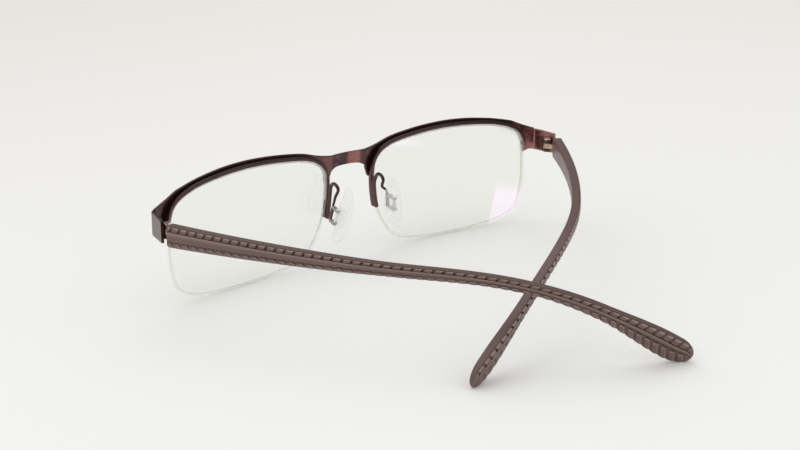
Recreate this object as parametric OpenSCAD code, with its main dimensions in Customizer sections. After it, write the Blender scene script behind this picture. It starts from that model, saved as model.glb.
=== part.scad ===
// Half-rim reading glasses, seen as a wearer holds them: X to the wearer's right,
// Y forward, Z up. The origin is the point midway between the lenses, at half the
// lens height, in the plane of the lens backs. Sizes are in millimetres.

/* [Lenses] */
// Boxed width of a lens
lens_w = 55; // [48:0.5:60]
// Boxed height of a lens
lens_h = 33.2; // [28:0.2:40]
// Thickness of a lens
lens_t = 2; // [1.9:0.1:3]
// Radius of the lens surfaces
base_r = 145; // [100:1:260]
// Face form, the turn of each lens back towards the temple
wrap = 4.9; // [0:0.1:10]
// Lean of the lens top back
lean = 0.1; // [0:0.1:4]
// Width of the groove in the lens edge
groove_w = 0.6; // [0.4:0.05:0.8]
// Depth of the groove in the lens edge
groove_d = 0.6; // [0.4:0.05:0.8]

/* [Front] */
// Distance between the lenses
bridge_w = 17; // [15:0.5:22]
// Height of the bridge's top edge at its middle, above the lens centre
bridge_z = 14.5; // [12:0.1:16]
// Rise of the bridge's top edge from its middle to a crease
crease_rise = 0.25; // [0:0.05:0.8]
// Height of the bridge bar at its middle
bridge_h = 3.6; // [2.6:0.1:5]
// How far the bridge bows forward
bridge_bow = 1.2; // [0:0.1:2.5]
// Half width of the bridge between its creases
crease_x = 6; // [5:0.1:6.5]
// Lower end of the plate beside the nose
plate_foot_z = 6.2; // [5:0.1:7.5]
// Height of the brow bar above the lens
brow_h = 1.85; // [1:0.05:2.5]
// Thickness of the front plate
plate_t = 0.8; // [0.6:0.05:1.2]
// Radial height of the eyewire
rim_h = 1.05; // [0.9:0.05:1.5]
// Depth of the eyewire, front to back
rim_d = 1.5; // [1.3:0.05:1.9]
// Depth of the channel for the liner
channel_d = 0.6; // [0.4:0.05:0.7]

/* [End pieces] */
// How far the front runs out past a lens, to the outside of the bend
lug_out = 5.9; // [4.5:0.1:7]
// Length of an end piece behind its bend
lug_len = 6.9; // [5.5:0.1:8]
// Height of an end piece at its bend
lug_h = 6.7; // [6:0.1:8]
// Fall of the end piece's top edge to its rear end
lug_fall = 0.5; // [0:0.1:1.2]
// Outward splay of the end pieces
lug_splay = 12.5; // [8:0.5:16]
// Inside radius of the bend
bend_r = 0.8; // [0.5:0.05:1.5]

/* [Hinges] */
// Height of the hinges above the lens centre
hinge_z = 7.7; // [7:0.1:9]
// Radius of a hinge knuckle
knuckle_r = 1.1; // [1.05:0.05:1.3]
// Height of the temple knuckle
knuckle_h = 1.5; // [1:0.05:1.8]
// Height of each front knuckle
ear_h = 1; // [0.8:0.05:1.2]
// Radius of the hinge screw
screw_r = 0.55; // [0.5:0.05:0.6]
// Distance of the hinge axis ahead of the end piece's rear end
pin_in = 1.7; // [1.5:0.05:2.2]

/* [Temples] */
// Length of a temple
temple_len = 142; // [130:1:150]
// Height of a temple at the hinge
temple_h = 6.1; // [5:0.1:6.4]
// Height of a temple at its waist
waist_h = 3; // [2.4:0.1:4]
// Height of the leaf at the tip
leaf_h = 6.7; // [4.5:0.1:7]
// Thickness of a temple at the hinge
temple_t = 2.9; // [2.6:0.1:3.6]
// Thickness of a temple at its waist
waist_t = 2.6; // [1.6:0.1:3]
// Where the temple starts to bend down
bend_at = 68; // [60:1:80]
// Length over which it bends down
bend_len = 63; // [45:1:70]
// Further fall of the bent end
bend_drop = 30.3; // [20:0.1:36]
// Fall of the straight part from the hinge
first_drop = 0.67; // [0:0.1:3]
// Pitch of the moulded tiles
tile_pitch = 2.55; // [2.2:0.05:3.2]
// Depth of the grooves between the tiles
tile_d = 0.3; // [0.15:0.05:0.4]
// Angle of the left temple inward from straight back
left_fold = 21.2; // [18:0.1:23]
// Angle of the right temple inward from straight back
right_fold = 33.8; // [32:0.1:40]

/* [Nose pads] */
// Distance of a pad's screw outward of the lens's nose edge
pad_in = 2.1; // [1.6:0.1:2.6]
// Distance of the pad screws behind the lens backs
pad_back = 7; // [6.6:0.1:8]
// Height of a nose pad
pad_h = 16.8; // [12:0.1:18]
// Width of a nose pad
pad_w = 7.4; // [6:0.1:8.5]
// Thickness of a nose pad
pad_t = 1.7; // [1.5:0.05:2.2]
// Lean of the pads, top towards the nose
pad_lean = 12; // [6:0.5:14]
// Flare of the pads, rear edge away from the nose
pad_flare = 5; // [0:0.5:12]
// Distance between the two flanges of the pad box
box_gap = 3.1; // [2.8:0.1:3.4]
// Thickness of the pad box
box_t = 0.5; // [0.4:0.05:0.6]
// Radius of the pad screw
pad_screw_r = 0.35; // [0.3:0.05:0.45]
// Radius of the pad arm wire
arm_r = 0.42; // [0.35:0.01:0.5]

/* [Hidden] */
// Clearance between pieces that are brazed, bonded or pressed together
seat = 0.03;
// Radial clearance of a running pin
run = 0.05;
// Gap that the braze fills between the front plate and the eyewires
braze = 0.1;
// Clearance between hinge knuckles, end to end
end_run = 0.08;
// Bevel on the edges of the stamped and drawn metal
bevel = 0.18;
half_w = lens_w / 2;
half_h = lens_h / 2;
eye_x = bridge_w / 2 + half_w;
lug_x = eye_x + half_w + lug_out;
pad_x = bridge_w / 2 + pad_in;
metal = [0.27, 0.17, 0.16];
nylon = [0.93, 0.92, 0.82];
brown = [0.42, 0.35, 0.32];
steel = [0.75, 0.73, 0.71];

// Outline of a lens: knots of a closed curve in a box from -1 to 1, from the
// temple side over the top to the nose side and back along the bottom
LENS_KNOTS = [[1, 0.02], [0.98, 0.47], [0.9, 0.73], [0.67, 0.89], [0.33, 0.97], [-0.04, 1],
    [-0.44, 0.97], [-0.78, 0.89], [-0.95, 0.72], [-1, 0.43], [-0.96, -0.16], [-0.83, -0.6],
    [-0.66, -0.85], [-0.37, -0.96], [0.03, -1], [0.44, -0.97], [0.75, -0.87], [0.92, -0.68],
    [0.985, -0.34]];
// Steps along one knot of the outline
KNOT_STEPS = 4;
// Where the eyewire ends, counted in knots: beside the temple and beside the nose
RIM_FROM = 0.68;
RIM_TO = 10;
// How far the cord's ends reach into the eyewire, in knots
CORD_IN = 0.25;

function lerp(a, b, t) = a + (b - a) * t;
function ease(t) = let (c = max(0, min(1, t))) c * c * (3 - 2 * c);
function unit(v) = v / norm(v);
function flat(a) = [for (row = a) for (p = row) p];
// Value at x of a table of [x, value] rows with x rising, straight between rows
function table(rows, x, i = 0) =
    i >= len(rows) - 2 || x < rows[i + 1][0]
    ? lerp(rows[i][1], rows[i + 1][1],
        max(0, min(1, (x - rows[i][0]) / (rows[i + 1][0] - rows[i][0]))))
    : table(rows, x, i + 1);
// Smooth curve through four points, at share t of the span from b to c
function span4(a, b, c, d, t) =
    0.5 * (2 * b + (c - a) * t + (2 * a - 5 * b + 4 * c - d) * t * t
        + (3 * b - a - 3 * c + d) * t * t * t);
function on_loop(knots, t) =
    let (n = len(knots), i = floor(t), f = t - i)
    span4(knots[(i + n - 1) % n], knots[(i + n) % n], knots[(i + 1) % n], knots[(i + 2) % n], f);
function on_line(knots, t) =
    let (n = len(knots), i = min(floor(t), n - 2), f = t - i)
    span4(knots[max(i - 1, 0)], knots[i], knots[i + 1], knots[min(i + 2, n - 1)], f);

// Mean of a ring's points
function middle(ring) = [for (k = [0:2]) [for (p = ring) p[k]] * [for (p = ring) 1 / len(ring)]];

// A skin over rings with as many points each, closed at both ends by fans to
// the points a and b
module skin(rings, a = undef, b = undef) {
    n = len(rings[0]);
    m = len(rings);
    cap_a = is_undef(a) ? middle(rings[0]) : a;
    cap_b = is_undef(b) ? middle(rings[m - 1]) : b;
    pts = concat(flat(rings), [cap_a, cap_b]);
    faces = concat(
        [for (j = [0:m - 2]) for (i = [0:n - 1]) [j * n + i, j * n + (i + 1) % n, (j + 1) * n + (i + 1) % n]],
        [for (j = [0:m - 2]) for (i = [0:n - 1]) [j * n + i, (j + 1) * n + (i + 1) % n, (j + 1) * n + i]],
        [for (i = [0:n - 1]) [m * n, (i + 1) % n, i]],
        [for (i = [0:n - 1]) [m * n + 1, (m - 1) * n + i, (m - 1) * n + (i + 1) % n]]);
    polyhedron(pts, faces);
}

// Depth of the lens back at a place on the right side: a patch of a large
// sphere, turned by the face form and leaning a little
function back_y(x, z) =
    -tan(wrap) * (x - eye_x) - tan(lean) * z - (pow(x - eye_x, 2) + z * z) / (2 * base_r);

// Point on the right lens outline at knot t, moved outward by n and forward by w
function edge_dir(t) =
    let (d = on_loop(LENS_KNOTS, t + 0.05) - on_loop(LENS_KNOTS, t - 0.05))
    unit([d[1] * half_h, -d[0] * half_w]);
function edge_point(t, n, w) =
    let (k = on_loop(LENS_KNOTS, t), d = edge_dir(t),
        x = eye_x + k[0] * half_w + d[0] * n, z = k[1] * half_h + d[1] * n)
    [x, back_y(x, z) + w, z];
function edge_ring(t, profile) = [for (p = profile) edge_point(t, p[0], p[1])];
function edge_steps(from, to, per_knot = KNOT_STEPS) =
    let (count = round(abs(to - from) * per_knot)) [for (i = [0:count]) lerp(from, to, i / count)];

// Both sides of the front are made as the right one and mirrored for the left
module on_side(side) {
    if (side > 0)
        children();
    else
        mirror([1, 0, 0]) children();
}

// Lens: meniscus with a groove round its edge
module lens() {
    mid = lens_t / 2;
    gw = groove_w / 2;
    edge = [[0, 0], [0, mid - gw], [-groove_d, mid - gw], [-groove_d, mid + gw], [0, mid + gw], [0, lens_t]];
    ts = [for (i = [0:len(LENS_KNOTS) * KNOT_STEPS - 1]) i / KNOT_STEPS];
    rim_rings = [for (p = edge) [for (t = ts) edge_point(t, p[0], p[1])]];
    face = function (k, w) [for (t = ts) let (q = on_loop(LENS_KNOTS, t) * k,
        x = eye_x + q[0] * half_w, z = q[1] * half_h) [x, back_y(x, z) + w, z]];
    rings = concat([face(0.36, 0), face(0.7, 0)], rim_rings, [face(0.7, lens_t), face(0.36, lens_t)]);
    color([0.9, 0.93, 0.88, 0.4]) skin(rings, [eye_x, back_y(eye_x, 0), 0],
        [eye_x, back_y(eye_x, 0) + lens_t, 0]);
}

// Half rim: drawn eyewire with a channel that faces the lens
rim_back = (lens_t - rim_d) / 2;
rim_front = rim_back + rim_d;
channel_w = groove_w + 0.2;
module half_rim() {
    cw = channel_w / 2;
    mid = lens_t / 2;
    in_n = seat;
    profile = [[in_n, rim_back], [rim_h - bevel, rim_back], [rim_h, rim_back + bevel],
        [rim_h, rim_front - bevel], [rim_h - bevel, rim_front], [in_n, rim_front],
        [in_n, mid + cw], [channel_d, mid + cw], [channel_d, mid - cw], [in_n, mid - cw]];
    color(metal) skin([for (t = edge_steps(RIM_TO, RIM_FROM)) edge_ring(t, profile)]);
}

// Liner: nylon strip held in the channel, its bead in the lens groove
module rim_liner() {
    cw = channel_w / 2 - seat;
    bw = groove_w / 2 - seat;
    mid = lens_t / 2;
    profile = [[-groove_d + 0.1, mid - bw], [2 * seat, mid - bw], [2 * seat, mid - cw],
        [channel_d - seat, mid - cw], [channel_d - seat, mid + cw], [2 * seat, mid + cw],
        [2 * seat, mid + bw], [-groove_d + 0.1, mid + bw]];
    color(nylon) skin([for (t = edge_steps(RIM_TO - 2 * CORD_IN, RIM_FROM + 2 * CORD_IN))
        edge_ring(t, profile)]);
}

// Cord: clear line that holds the lower edge of the lens in its groove
module lens_cord() {
    r = groove_w / 2 - seat;
    profile = [for (a = [0:60:300]) [-r - seat + r * cos(a), lens_t / 2 + r * sin(a)]];
    color(nylon) skin([for (t = edge_steps(len(LENS_KNOTS) + RIM_FROM + CORD_IN, RIM_TO - CORD_IN))
        edge_ring(t, profile)]);
}

// Front plate: one stamped strip from end piece to end piece. Each station is a
// lower point, an upper point and the outward direction of the sheet
plate_w = rim_front + braze + plate_t / 2;
function plate_y(x, z) =
    let (ax = max(abs(x), crease_x), bow = max(0, 1 - pow(x / crease_x, 2)))
    back_y(ax, z) + plate_w + bridge_bow * bow;
function plate_point(x, z) = [x, plate_y(x, z), z];
lug_mid = hinge_z + 0.7;
lug_top = lug_mid + lug_h / 2;
lug_bottom = lug_mid - lug_h / 2 + 0.1;
// Upper edge of the plate on the right half, from the middle to the end piece
BROW = [[0, bridge_z], [crease_x * 0.6, bridge_z + 0.2 * crease_rise], [crease_x, bridge_z + crease_rise],
    [eye_x - 0.94 * half_w, 0.815 * half_h + brow_h], [eye_x - 0.76 * half_w, 0.895 * half_h + brow_h],
    [eye_x - 0.58 * half_w, 0.94 * half_h + brow_h], [eye_x - 0.3 * half_w, 0.98 * half_h + brow_h],
    [eye_x, 0.995 * half_h + brow_h], [eye_x + 0.3 * half_w, 0.97 * half_h + brow_h],
    [eye_x + 0.62 * half_w, 0.9 * half_h + brow_h], [eye_x + 0.86 * half_w, 0.812 * half_h + brow_h],
    [eye_x + half_w, 0.71 * half_h + brow_h], [lug_x - 0.6, lug_top + 0.1]];
function brow_z(x, i = 0) =
    i >= len(BROW) - 2 || x <= BROW[i + 1][0]
    ? on_line([for (k = BROW) k[1]], i + min(1, (x - BROW[i][0]) / (BROW[i + 1][0] - BROW[i][0])))
    : brow_z(x, i + 1);
function top_point(x) = plate_point(x, brow_z(x));
plate_in = 0.2;
// How much further out the plate starts beside the temple
end_out = 0.5;
BROW_FROM = 8.75;
BROW_TO = 1;
outline_at = function (t) edge_point(t, plate_in + end_out * max(0, 1 - (t - BROW_TO) / 2), 0);
// Lower edge beside the nose: down from the bridge, round the foot and up the lens
nose_x = eye_x - half_w - plate_in;
NOSE_EDGE = [[crease_x, bridge_z - bridge_h - 1], [crease_x + 0.4, bridge_z - bridge_h - 2.1],
    [lerp(crease_x, nose_x, 0.38), lerp(plate_foot_z, bridge_z - bridge_h, 0.28)],
    [lerp(crease_x, nose_x, 0.58), plate_foot_z + 0.25], [lerp(crease_x, nose_x, 0.78), plate_foot_z],
    [nose_x - 0.12, plate_foot_z + 0.5]];
brow_ts = [for (i = [0:(BROW_FROM - BROW_TO) * KNOT_STEPS]) BROW_FROM - i / KNOT_STEPS];
// Lower edge beside the temple: out from the eyewire's end to the bend
end_x = eye_x + half_w + plate_in + end_out;
bend_x = lug_x - plate_t - bend_r - 0.4;
END_EDGE = [[end_x - 0.25, lerp(lug_bottom, 0.47 * half_h, 0.35)], [end_x, lug_bottom - 0.2],
    [lerp(end_x, bend_x, 0.3), lug_bottom + 0.1], [lerp(end_x, bend_x, 0.6), lug_bottom + 0.35],
    [bend_x, lug_bottom + 0.2]];
half_count = len(NOSE_EDGE) + len(brow_ts) + len(END_EDGE);
low_points = concat([for (k = NOSE_EDGE) plate_point(k[0], k[1])],
    [for (t = brow_ts) let (p = outline_at(t)) plate_point(p[0], p[2])],
    [for (k = END_EDGE) plate_point(k[0], k[1])]);
// Upper points fan round the corners and stand over the lower ones between them
fan_in = len(NOSE_EDGE) + 5;
fan_out = half_count - len(END_EDGE) - 5;
function top_x(i) =
    i <= fan_in ? lerp(crease_x, low_points[fan_in][0] + 0.25, i / fan_in)
    : i >= fan_out ? lerp(low_points[fan_out][0] + 0.15, bend_x, (i - fan_out) / (half_count - 1 - fan_out))
    : low_points[i][0] + 0.2 * (fan_out - i) / (fan_out - fan_in);
bridge_steps = 4;
bridge_stations = [for (i = [0:bridge_steps - 1]) let (x = crease_x * i / bridge_steps,
    low = bridge_z - bridge_h - pow(x / crease_x, 4) * 0.8) [plate_point(x, low), top_point(x), [0, 1, 0]]];
side_stations = [for (i = [0:half_count - 1]) [low_points[i], top_point(top_x(i)), [0, 1, 0]]];
// The bend turns the sheet from the front's direction to the end piece's
bend_mid_r = bend_r + plate_t / 2;
front_turn = atan(tan(wrap) + (bend_x - eye_x) / base_r);
lug_turn = 90 - lug_splay;
bend_start = [bend_x, plate_y(bend_x, hinge_z)];
function bend_xy(a) = bend_start + bend_mid_r * [sin(a) - sin(front_turn), cos(a) - cos(front_turn)];
function lug_z(s) = [lug_bottom + 0.2 * (1 - min(1, s / 2)), lug_top - lug_fall * s / lug_len];
bend_steps = 5;
lug_steps = 4;
function lug_station(xy, s, a) = let (z = lug_z(s))
    [[xy[0], xy[1], z[0]], [xy[0], xy[1], z[1]], [sin(a), cos(a), 0]];
bend_stations = [for (i = [0:bend_steps]) let (a = lerp(front_turn, lug_turn, i / bend_steps))
    lug_station(bend_xy(a), bend_mid_r * (a - front_turn) * PI / 180, a)];
lug_dir = [cos(lug_turn), -sin(lug_turn)];
bend_end = bend_xy(lug_turn);
function lug_xy(s) = bend_end + lug_dir * s;
lug_stations = [for (i = [1:lug_steps]) lug_station(lug_xy(lug_len * i / lug_steps),
    lug_len * i / lug_steps, lug_turn)];
function mirrored(st) = [for (v = st) [-v[0], v[1], v[2]]];
function strip_ring(st) =
    let (up = unit(st[1] - st[0]), b = min(bevel, norm(st[1] - st[0]) / 4), h = plate_t / 2, n = st[2])
    [st[0] + up * b - n * h, st[1] - up * b - n * h, st[1] - n * (h - b), st[1] + n * (h - b),
        st[1] - up * b + n * h, st[0] + up * b + n * h, st[0] + n * (h - b), st[0] - n * (h - b)];
module front_plate() {
    right = concat(bridge_stations, side_stations, [for (i = [1:bend_steps]) bend_stations[i]], lug_stations);
    left = [for (i = [len(right) - 1:-1:1]) mirrored(right[i])];
    color(metal) skin([for (st = concat(left, right)) strip_ring(st)]);
}

// Hinge: the axis stands inside the end piece, with two knuckles of the front
// and one of the temple between them
hinge_gap = seat + 0.25;
lug_normal = [sin(lug_turn), cos(lug_turn)];
pin_xy = lug_xy(lug_len - pin_in) - lug_normal * (plate_t / 2 + hinge_gap + knuckle_r);
pin = [pin_xy[0], pin_xy[1], hinge_z];
ear_low = knuckle_h / 2 + end_run;
leaf_len = 3;
leaf_t = 0.45;
leaf_x = knuckle_r + hinge_gap - seat - leaf_t;
leaf_from = knuckle_r + 0.3;
module front_hinge() {
    color(metal) translate(pin) rotate([0, 0, 90 - lug_turn]) difference() {
        union() {
            for (z = [ear_low, -ear_low - ear_h])
                translate([0, 0, z]) {
                    cylinder(r = knuckle_r, h = ear_h, $fn = 48);
                    translate([0, -0.6, 0]) cube([leaf_x + leaf_t / 2, leaf_from + 1.1, ear_h]);
                }
            translate([leaf_x, leaf_from, -ear_low - ear_h])
                cube([leaf_t, leaf_len, 2 * (ear_low + ear_h)]);
        }
        translate([0, 0, -ear_low - ear_h - 1])
            cylinder(r = screw_r + seat, h = 2 * (ear_low + ear_h + 1), $fn = 48);
    }
}

// Hinge screw: slotted head above the upper knuckle, shank through all three
head_r = knuckle_r - 0.1;
head_h = 0.45;
module hinge_screw() {
    bottom = -ear_low - ear_h;
    color(steel) translate(pin) difference() {
        union() {
            translate([0, 0, bottom]) cylinder(r = screw_r, h = seat + head_h / 3 - 2 * bottom, $fn = 48);
            translate([0, 0, -bottom + seat]) cylinder(r = head_r, h = head_h, $fn = 48);
        }
        translate([-head_r, -0.12, -bottom + head_h * 0.5]) cube([2 * head_r, 0.24, head_h]);
    }
}

// Temple: straight back it would lie along -Y from the hinge; the folds turn it
// about the pin
temple_out = 2.6;
temple_back = 2.9;
toe_t = temple_len / 142;
BOW = [[0, 0.0026], [45, 0.0038], [95, 0.0098], [142, 0.0032]];
module folded(side) {
    fold = side > 0 ? right_fold : left_fold;
    on_side(side) translate(pin) rotate([0, 0, -fold]) children();
}
// Pitch of the tiles fitted to the length, with the two rings of each tile and
// one of the groove behind it
tiles = round((temple_len - 1.5) / tile_pitch);
pitch = (temple_len - 1.5) / tiles;
groove_half = 0.3;
temple_s = concat([0], [for (i = [0:tiles - 1]) for (k = [0:2])
    i * pitch + [groove_half, pitch - groove_half, pitch][k] + 0.3], [temple_len - 0.6, temple_len]);
turn_step = 2;
function plan_turn(s) = s <= 0 ? 0
    : let (h = min(turn_step, s)) plan_turn(s - h) + along(BOW, s - h / 2) * h * 180 / PI;
function drop(s) = first_drop + bend_drop * ease((s - bend_at) / bend_len);
turns = [for (s = temple_s) plan_turn(s)];
function heading(a, b) = [-sin(a) * cos(b), -cos(a) * cos(b), -sin(b)];
temple_path = [for (i = 0, p = [0, 0, 0]; i < len(temple_s);
    i = i + 1, p = i < len(temple_s) ? p + heading((turns[i] + turns[i - 1]) / 2,
        drop((temple_s[i] + temple_s[i - 1]) / 2)) * (temple_s[i] - temple_s[i - 1]) : p) p];
// Height above and below the path, and thickness, along the temple
UPPER = [[0, temple_h * 0.5], [30, lerp(waist_h, temple_h, 0.56) * 0.53], [60, waist_h * 0.62],
    [85, waist_h * 0.56], [100, waist_h * 0.56], [118, lerp(waist_h, leaf_h, 0.3) * 0.5],
    [126, leaf_h * 0.41], [132, leaf_h * 0.48], [138.5, leaf_h * 0.38], [141, leaf_h * 0.2], [142, 0.2]];
LOWER = [[0, temple_h * 0.5], [30, lerp(waist_h, temple_h, 0.56) * 0.47], [60, waist_h * 0.5],
    [85, waist_h * 0.44], [100, waist_h * 0.44], [118, lerp(waist_h, leaf_h, 0.3) * 0.5],
    [126, leaf_h * 0.44], [132, leaf_h * 0.52], [138.5, leaf_h * 0.4], [141, leaf_h * 0.18], [142, 0.4]];
THICK = [[0, temple_t], [60, temple_t * 0.88], [105, waist_t], [132, waist_t * 0.95],
    [140, waist_t * 0.75], [142, waist_t * 0.4]];
// Half the height of the smooth band on the outer face, as a share of the whole
BAND = [[0, 0.2], [50, 0.15], [90, 0.11], [118, 0.07], [142, 0.05]];
function along(rows, s) = table(rows, s / toe_t);
// Section round the temple: [outward, upward, forward] from the path. The four
// points beyond the smooth band are drawn in by cut where a groove crosses
function temple_section(s, cut_share) =
    let (hu = along(UPPER, s), hl = along(LOWER, s), t = along(THICK, s) / 2, h = hu + hl,
        k = min(1, h / 3), cut = cut_share * min(tile_d, h * 0.1, t * 0.4),
        mid = (hu - hl) / 2, top = mid + along(BAND, s) * h, low = mid - along(BAND, s) * h,
        skew = min(1, s / 3, (temple_len - s) / 4))
    [[-t + 0.25 * k, hu, 0], [t * 0.35, hu, 0], [t * 0.68 - cut, lerp(hu, top, 0.16), 0],
        [t - 0.16 * k - cut, lerp(top, hu, 0.16), 0], [t - 0.34 * k, lerp(top, hu, 0.07), 0], [t, top, 0],
        [t, low, 0], [t - 0.34 * k, lerp(low, -hl, 0.07), -0.4 * skew],
        [t - 0.16 * k - cut, lerp(low, -hl, 0.18), -0.2 * skew],
        [t * 0.76 - cut, lerp(-hl, low, 0.12), 0.5 * skew], [t * 0.35, -hl, 0.7 * skew],
        [-t + 0.25 * k, -hl, 0], [-t, mid, 0]];
module temple_body() {
    rings = [for (i = [0:len(temple_s) - 1])
        let (s = temple_s[i], a = turns[i], b = drop(s), fwd = heading(a, b),
            side = [cos(a), -sin(a), 0], up = cross(fwd, side),
            groove = i > 0 && i < len(temple_s) - 2 && i % 3 == 0 ? 1 : 0)
        [for (q = temple_section(s, groove)) temple_path[i] + side * q[0] + up * q[1] + fwd * q[2]]];
    color(brown) translate([temple_out, -temple_back, 0]) skin(rings);
}

// Tang: the metal strip of the temple hinge that the temple is moulded round
tang_t = 1.2;
tang_h = 2.6;
tang_len = 9;
module tang(extra) {
    translate([temple_out - 0.4 - tang_t / 2 - extra, -temple_back - tang_len - extra, -tang_h / 2 - extra])
        cube([tang_t + 2 * extra, tang_len + 2 * extra, tang_h + 2 * extra]);
}
module temple_hinge() {
    reach = temple_out + 0.2;
    color(metal) difference() {
        union() {
            translate([0, 0, -knuckle_h / 2]) cylinder(r = knuckle_r, h = knuckle_h, $fn = 48);
            linear_extrude(knuckle_h, center = true)
                polygon([[-0.2, -0.8 * knuckle_r], [0.3, 0], [0.85 * knuckle_r, 0], [0.85 * knuckle_r, -pin_in - 0.3],
                    [reach, 0.2 - temple_back], [reach, -temple_back - 0.3], [reach - 0.9, -temple_back - 0.3]]);
            tang(0);
        }
        translate([0, 0, -knuckle_h]) cylinder(r = screw_r + run, h = 2 * knuckle_h, $fn = 48);
    }
}
module temple() {
    difference() {
        temple_body();
        tang(seat);
    }
}

// Nose pads: the box stands at the end of the arm, leaning towards the nose,
// turned a little outward and tipped back
pad_low = 0.7;
box_yaw = 8.7;
box_tip = 10;
flange_r = 0.7;
flange_root_w = 0.9;
box_root = 2.8;
module at_pad(side) {
    on_side(side) translate([pad_x, -pad_back, -pad_low]) rotate([box_tip, -pad_lean, box_yaw]) children();
}
// The same place as a function, for the arm's wire
function turn(p, a, i, j) = [for (k = [0:2])
    k == i ? p[i] * cos(a) - p[j] * sin(a) : k == j ? p[i] * sin(a) + p[j] * cos(a) : p[k]];
function pad_place(p) =
    [pad_x, -pad_back, -pad_low] + turn(turn(turn(p, box_tip, 1, 2), -pad_lean, 2, 0), box_yaw, 0, 1);
box_h = box_gap + 2 * box_t;
module pad_box() {
    root = flange_root_w / 2;
    difference() {
        union() {
            for (z = [box_gap / 2, -box_h / 2])
                translate([0, 0, z]) {
                    linear_extrude(box_t) polygon([[0.06 - flange_r, 0], [flange_r - 0.06, 0], [root - 0.05, box_root - 0.1],
                        [0.05 - root, box_root - 0.1]]);
                    cylinder(r = flange_r, h = box_t, $fn = 40);
                }
            translate([-root, box_root - box_t, -box_h / 2]) cube([flange_root_w, box_t, box_h]);
        }
        translate([0, 0, -box_h]) cylinder(r = pad_screw_r + seat, h = 2 * box_h, $fn = 40);
    }
}
// The wire: a stout foot along the eyewire, a loop over its top and a thinner
// leg down the back of the box. Rows are [point, radius]
foot_r = 0.6;
function foot_point(up, n) = [edge_point(RIM_TO - up, n, rim_back - 3 * seat - foot_r), foot_r];
// How far the foot runs up the eyewire, in knots, and the wire's place over the lens edge
foot_run = 0.7;
loop_x = bridge_w / 2 - 0.4;
leg_y = box_root + arm_r * 0.6;
ARM = [foot_point(0, 0.65), foot_point(foot_run / 2, 0.6), foot_point(foot_run, 0.6),
    [[loop_x, -1.5, 6.5], foot_r * 0.9], [[loop_x, -2.6, 7.6], 0.5], [[loop_x, -4.1, 7.4], 0.5],
    [[loop_x, -4.9, 6.2], 0.48], [[loop_x + 0.3, -4, 4.2], arm_r],
    [pad_place([0, leg_y, 3.1]), arm_r], [pad_place([0, leg_y, 1]), arm_r],
    [pad_place([0, leg_y, -box_h / 2]), arm_r]];
module pad_arm() {
    steps = 2;
    count = (len(ARM) - 1) * steps;
    path = [for (i = [0:count]) on_line([for (k = ARM) k[0]], i / steps)];
    rings = [for (i = [0:count])
        let (fwd = unit(path[min(i + 1, count)] - path[max(i - 1, 0)]), a = unit(cross(fwd, [1, 0, 0.2])),
            b = cross(a, fwd), r = on_line([for (k = ARM) k[1]], i / steps))
        [for (k = [0:7]) path[i] + r * (a * cos(k * 45) + b * sin(k * 45))]];
    color(metal) skin(rings);
    color(steel) translate([pad_x, -pad_back, -pad_low]) rotate([box_tip, -pad_lean, box_yaw]) pad_box();
}
pad_head_h = 0.35;
module pad_screw() {
    color(steel) union() {
        translate([0, 0, -box_h / 2]) cylinder(r = pad_screw_r, h = box_h + seat + pad_head_h / 2, $fn = 40);
        translate([0, 0, box_h / 2 + seat]) cylinder(r = pad_screw_r + 0.25, h = pad_head_h, $fn = 40);
    }
}

// Pad: an oval of clear silicone over a stiff core, whose post turns on the screw
post_r = 0.75;
pad_off = flange_r + 0.33;
insert_t = 0.5;
insert_h = 5.4;
insert_w = 3.2;
stem_w = 1;
stem_h = 2;
module in_pad_plane() {
    translate([-pad_off, 0, 0]) rotate([0, 0, pad_flare - box_yaw]) children();
}
module insert_shape(extra) {
    in_pad_plane() translate([-pad_t / 2 - insert_t / 2 - extra, -insert_w / 2 - extra, -insert_h / 2 - extra])
        cube([insert_t + 2 * extra, insert_w + 2 * extra, insert_h + 2 * extra]);
    translate([-pad_off - pad_t / 2 - extra, -stem_w / 2 - extra, -stem_h / 2 - extra])
        cube([pad_off + pad_t / 2 + extra, stem_w + 2 * extra, stem_h + 2 * extra]);
}
module pad_core() {
    color([0.85, 0.87, 0.88, 0.6]) difference() {
        union() {
            translate([0, 0, -box_gap / 2 + end_run]) cylinder(r = post_r, h = box_gap - 2 * end_run, $fn = 40);
            insert_shape(0);
        }
        translate([0, 0, -box_gap]) cylinder(r = pad_screw_r + run, h = 2 * box_gap, $fn = 40);
    }
}
// Middle of the pad from the screw, back and up, and how far its ends curve away
pad_mid = [-0.9, 1.3];
pad_curve = 0.8;
module nose_pad() {
    n = 28;
    outline = function (k, x) [for (i = [0:n - 1]) let (a = i * 360 / n, c = cos(a), s = sin(a),
        narrow = 1 - 0.14 * s, z = k * s) [x + pad_curve * z * z, pad_mid[0] - k * pad_w / 2 * narrow * c,
        pad_mid[1] + z * pad_h / 2]];
    color([0.9, 0.92, 0.93, 0.5]) difference() {
        in_pad_plane() skin([outline(0.4, -pad_t), outline(0.78, -pad_t * 0.93), outline(0.94, -pad_t * 0.74),
            outline(1, -pad_t * 0.45), outline(0.95, -pad_t * 0.14), outline(0.85, 0), outline(0.45, 0)],
            [-pad_t, pad_mid[0], pad_mid[1]], [0, pad_mid[0], pad_mid[1]]);
        insert_shape(seat);
    }
}

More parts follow.
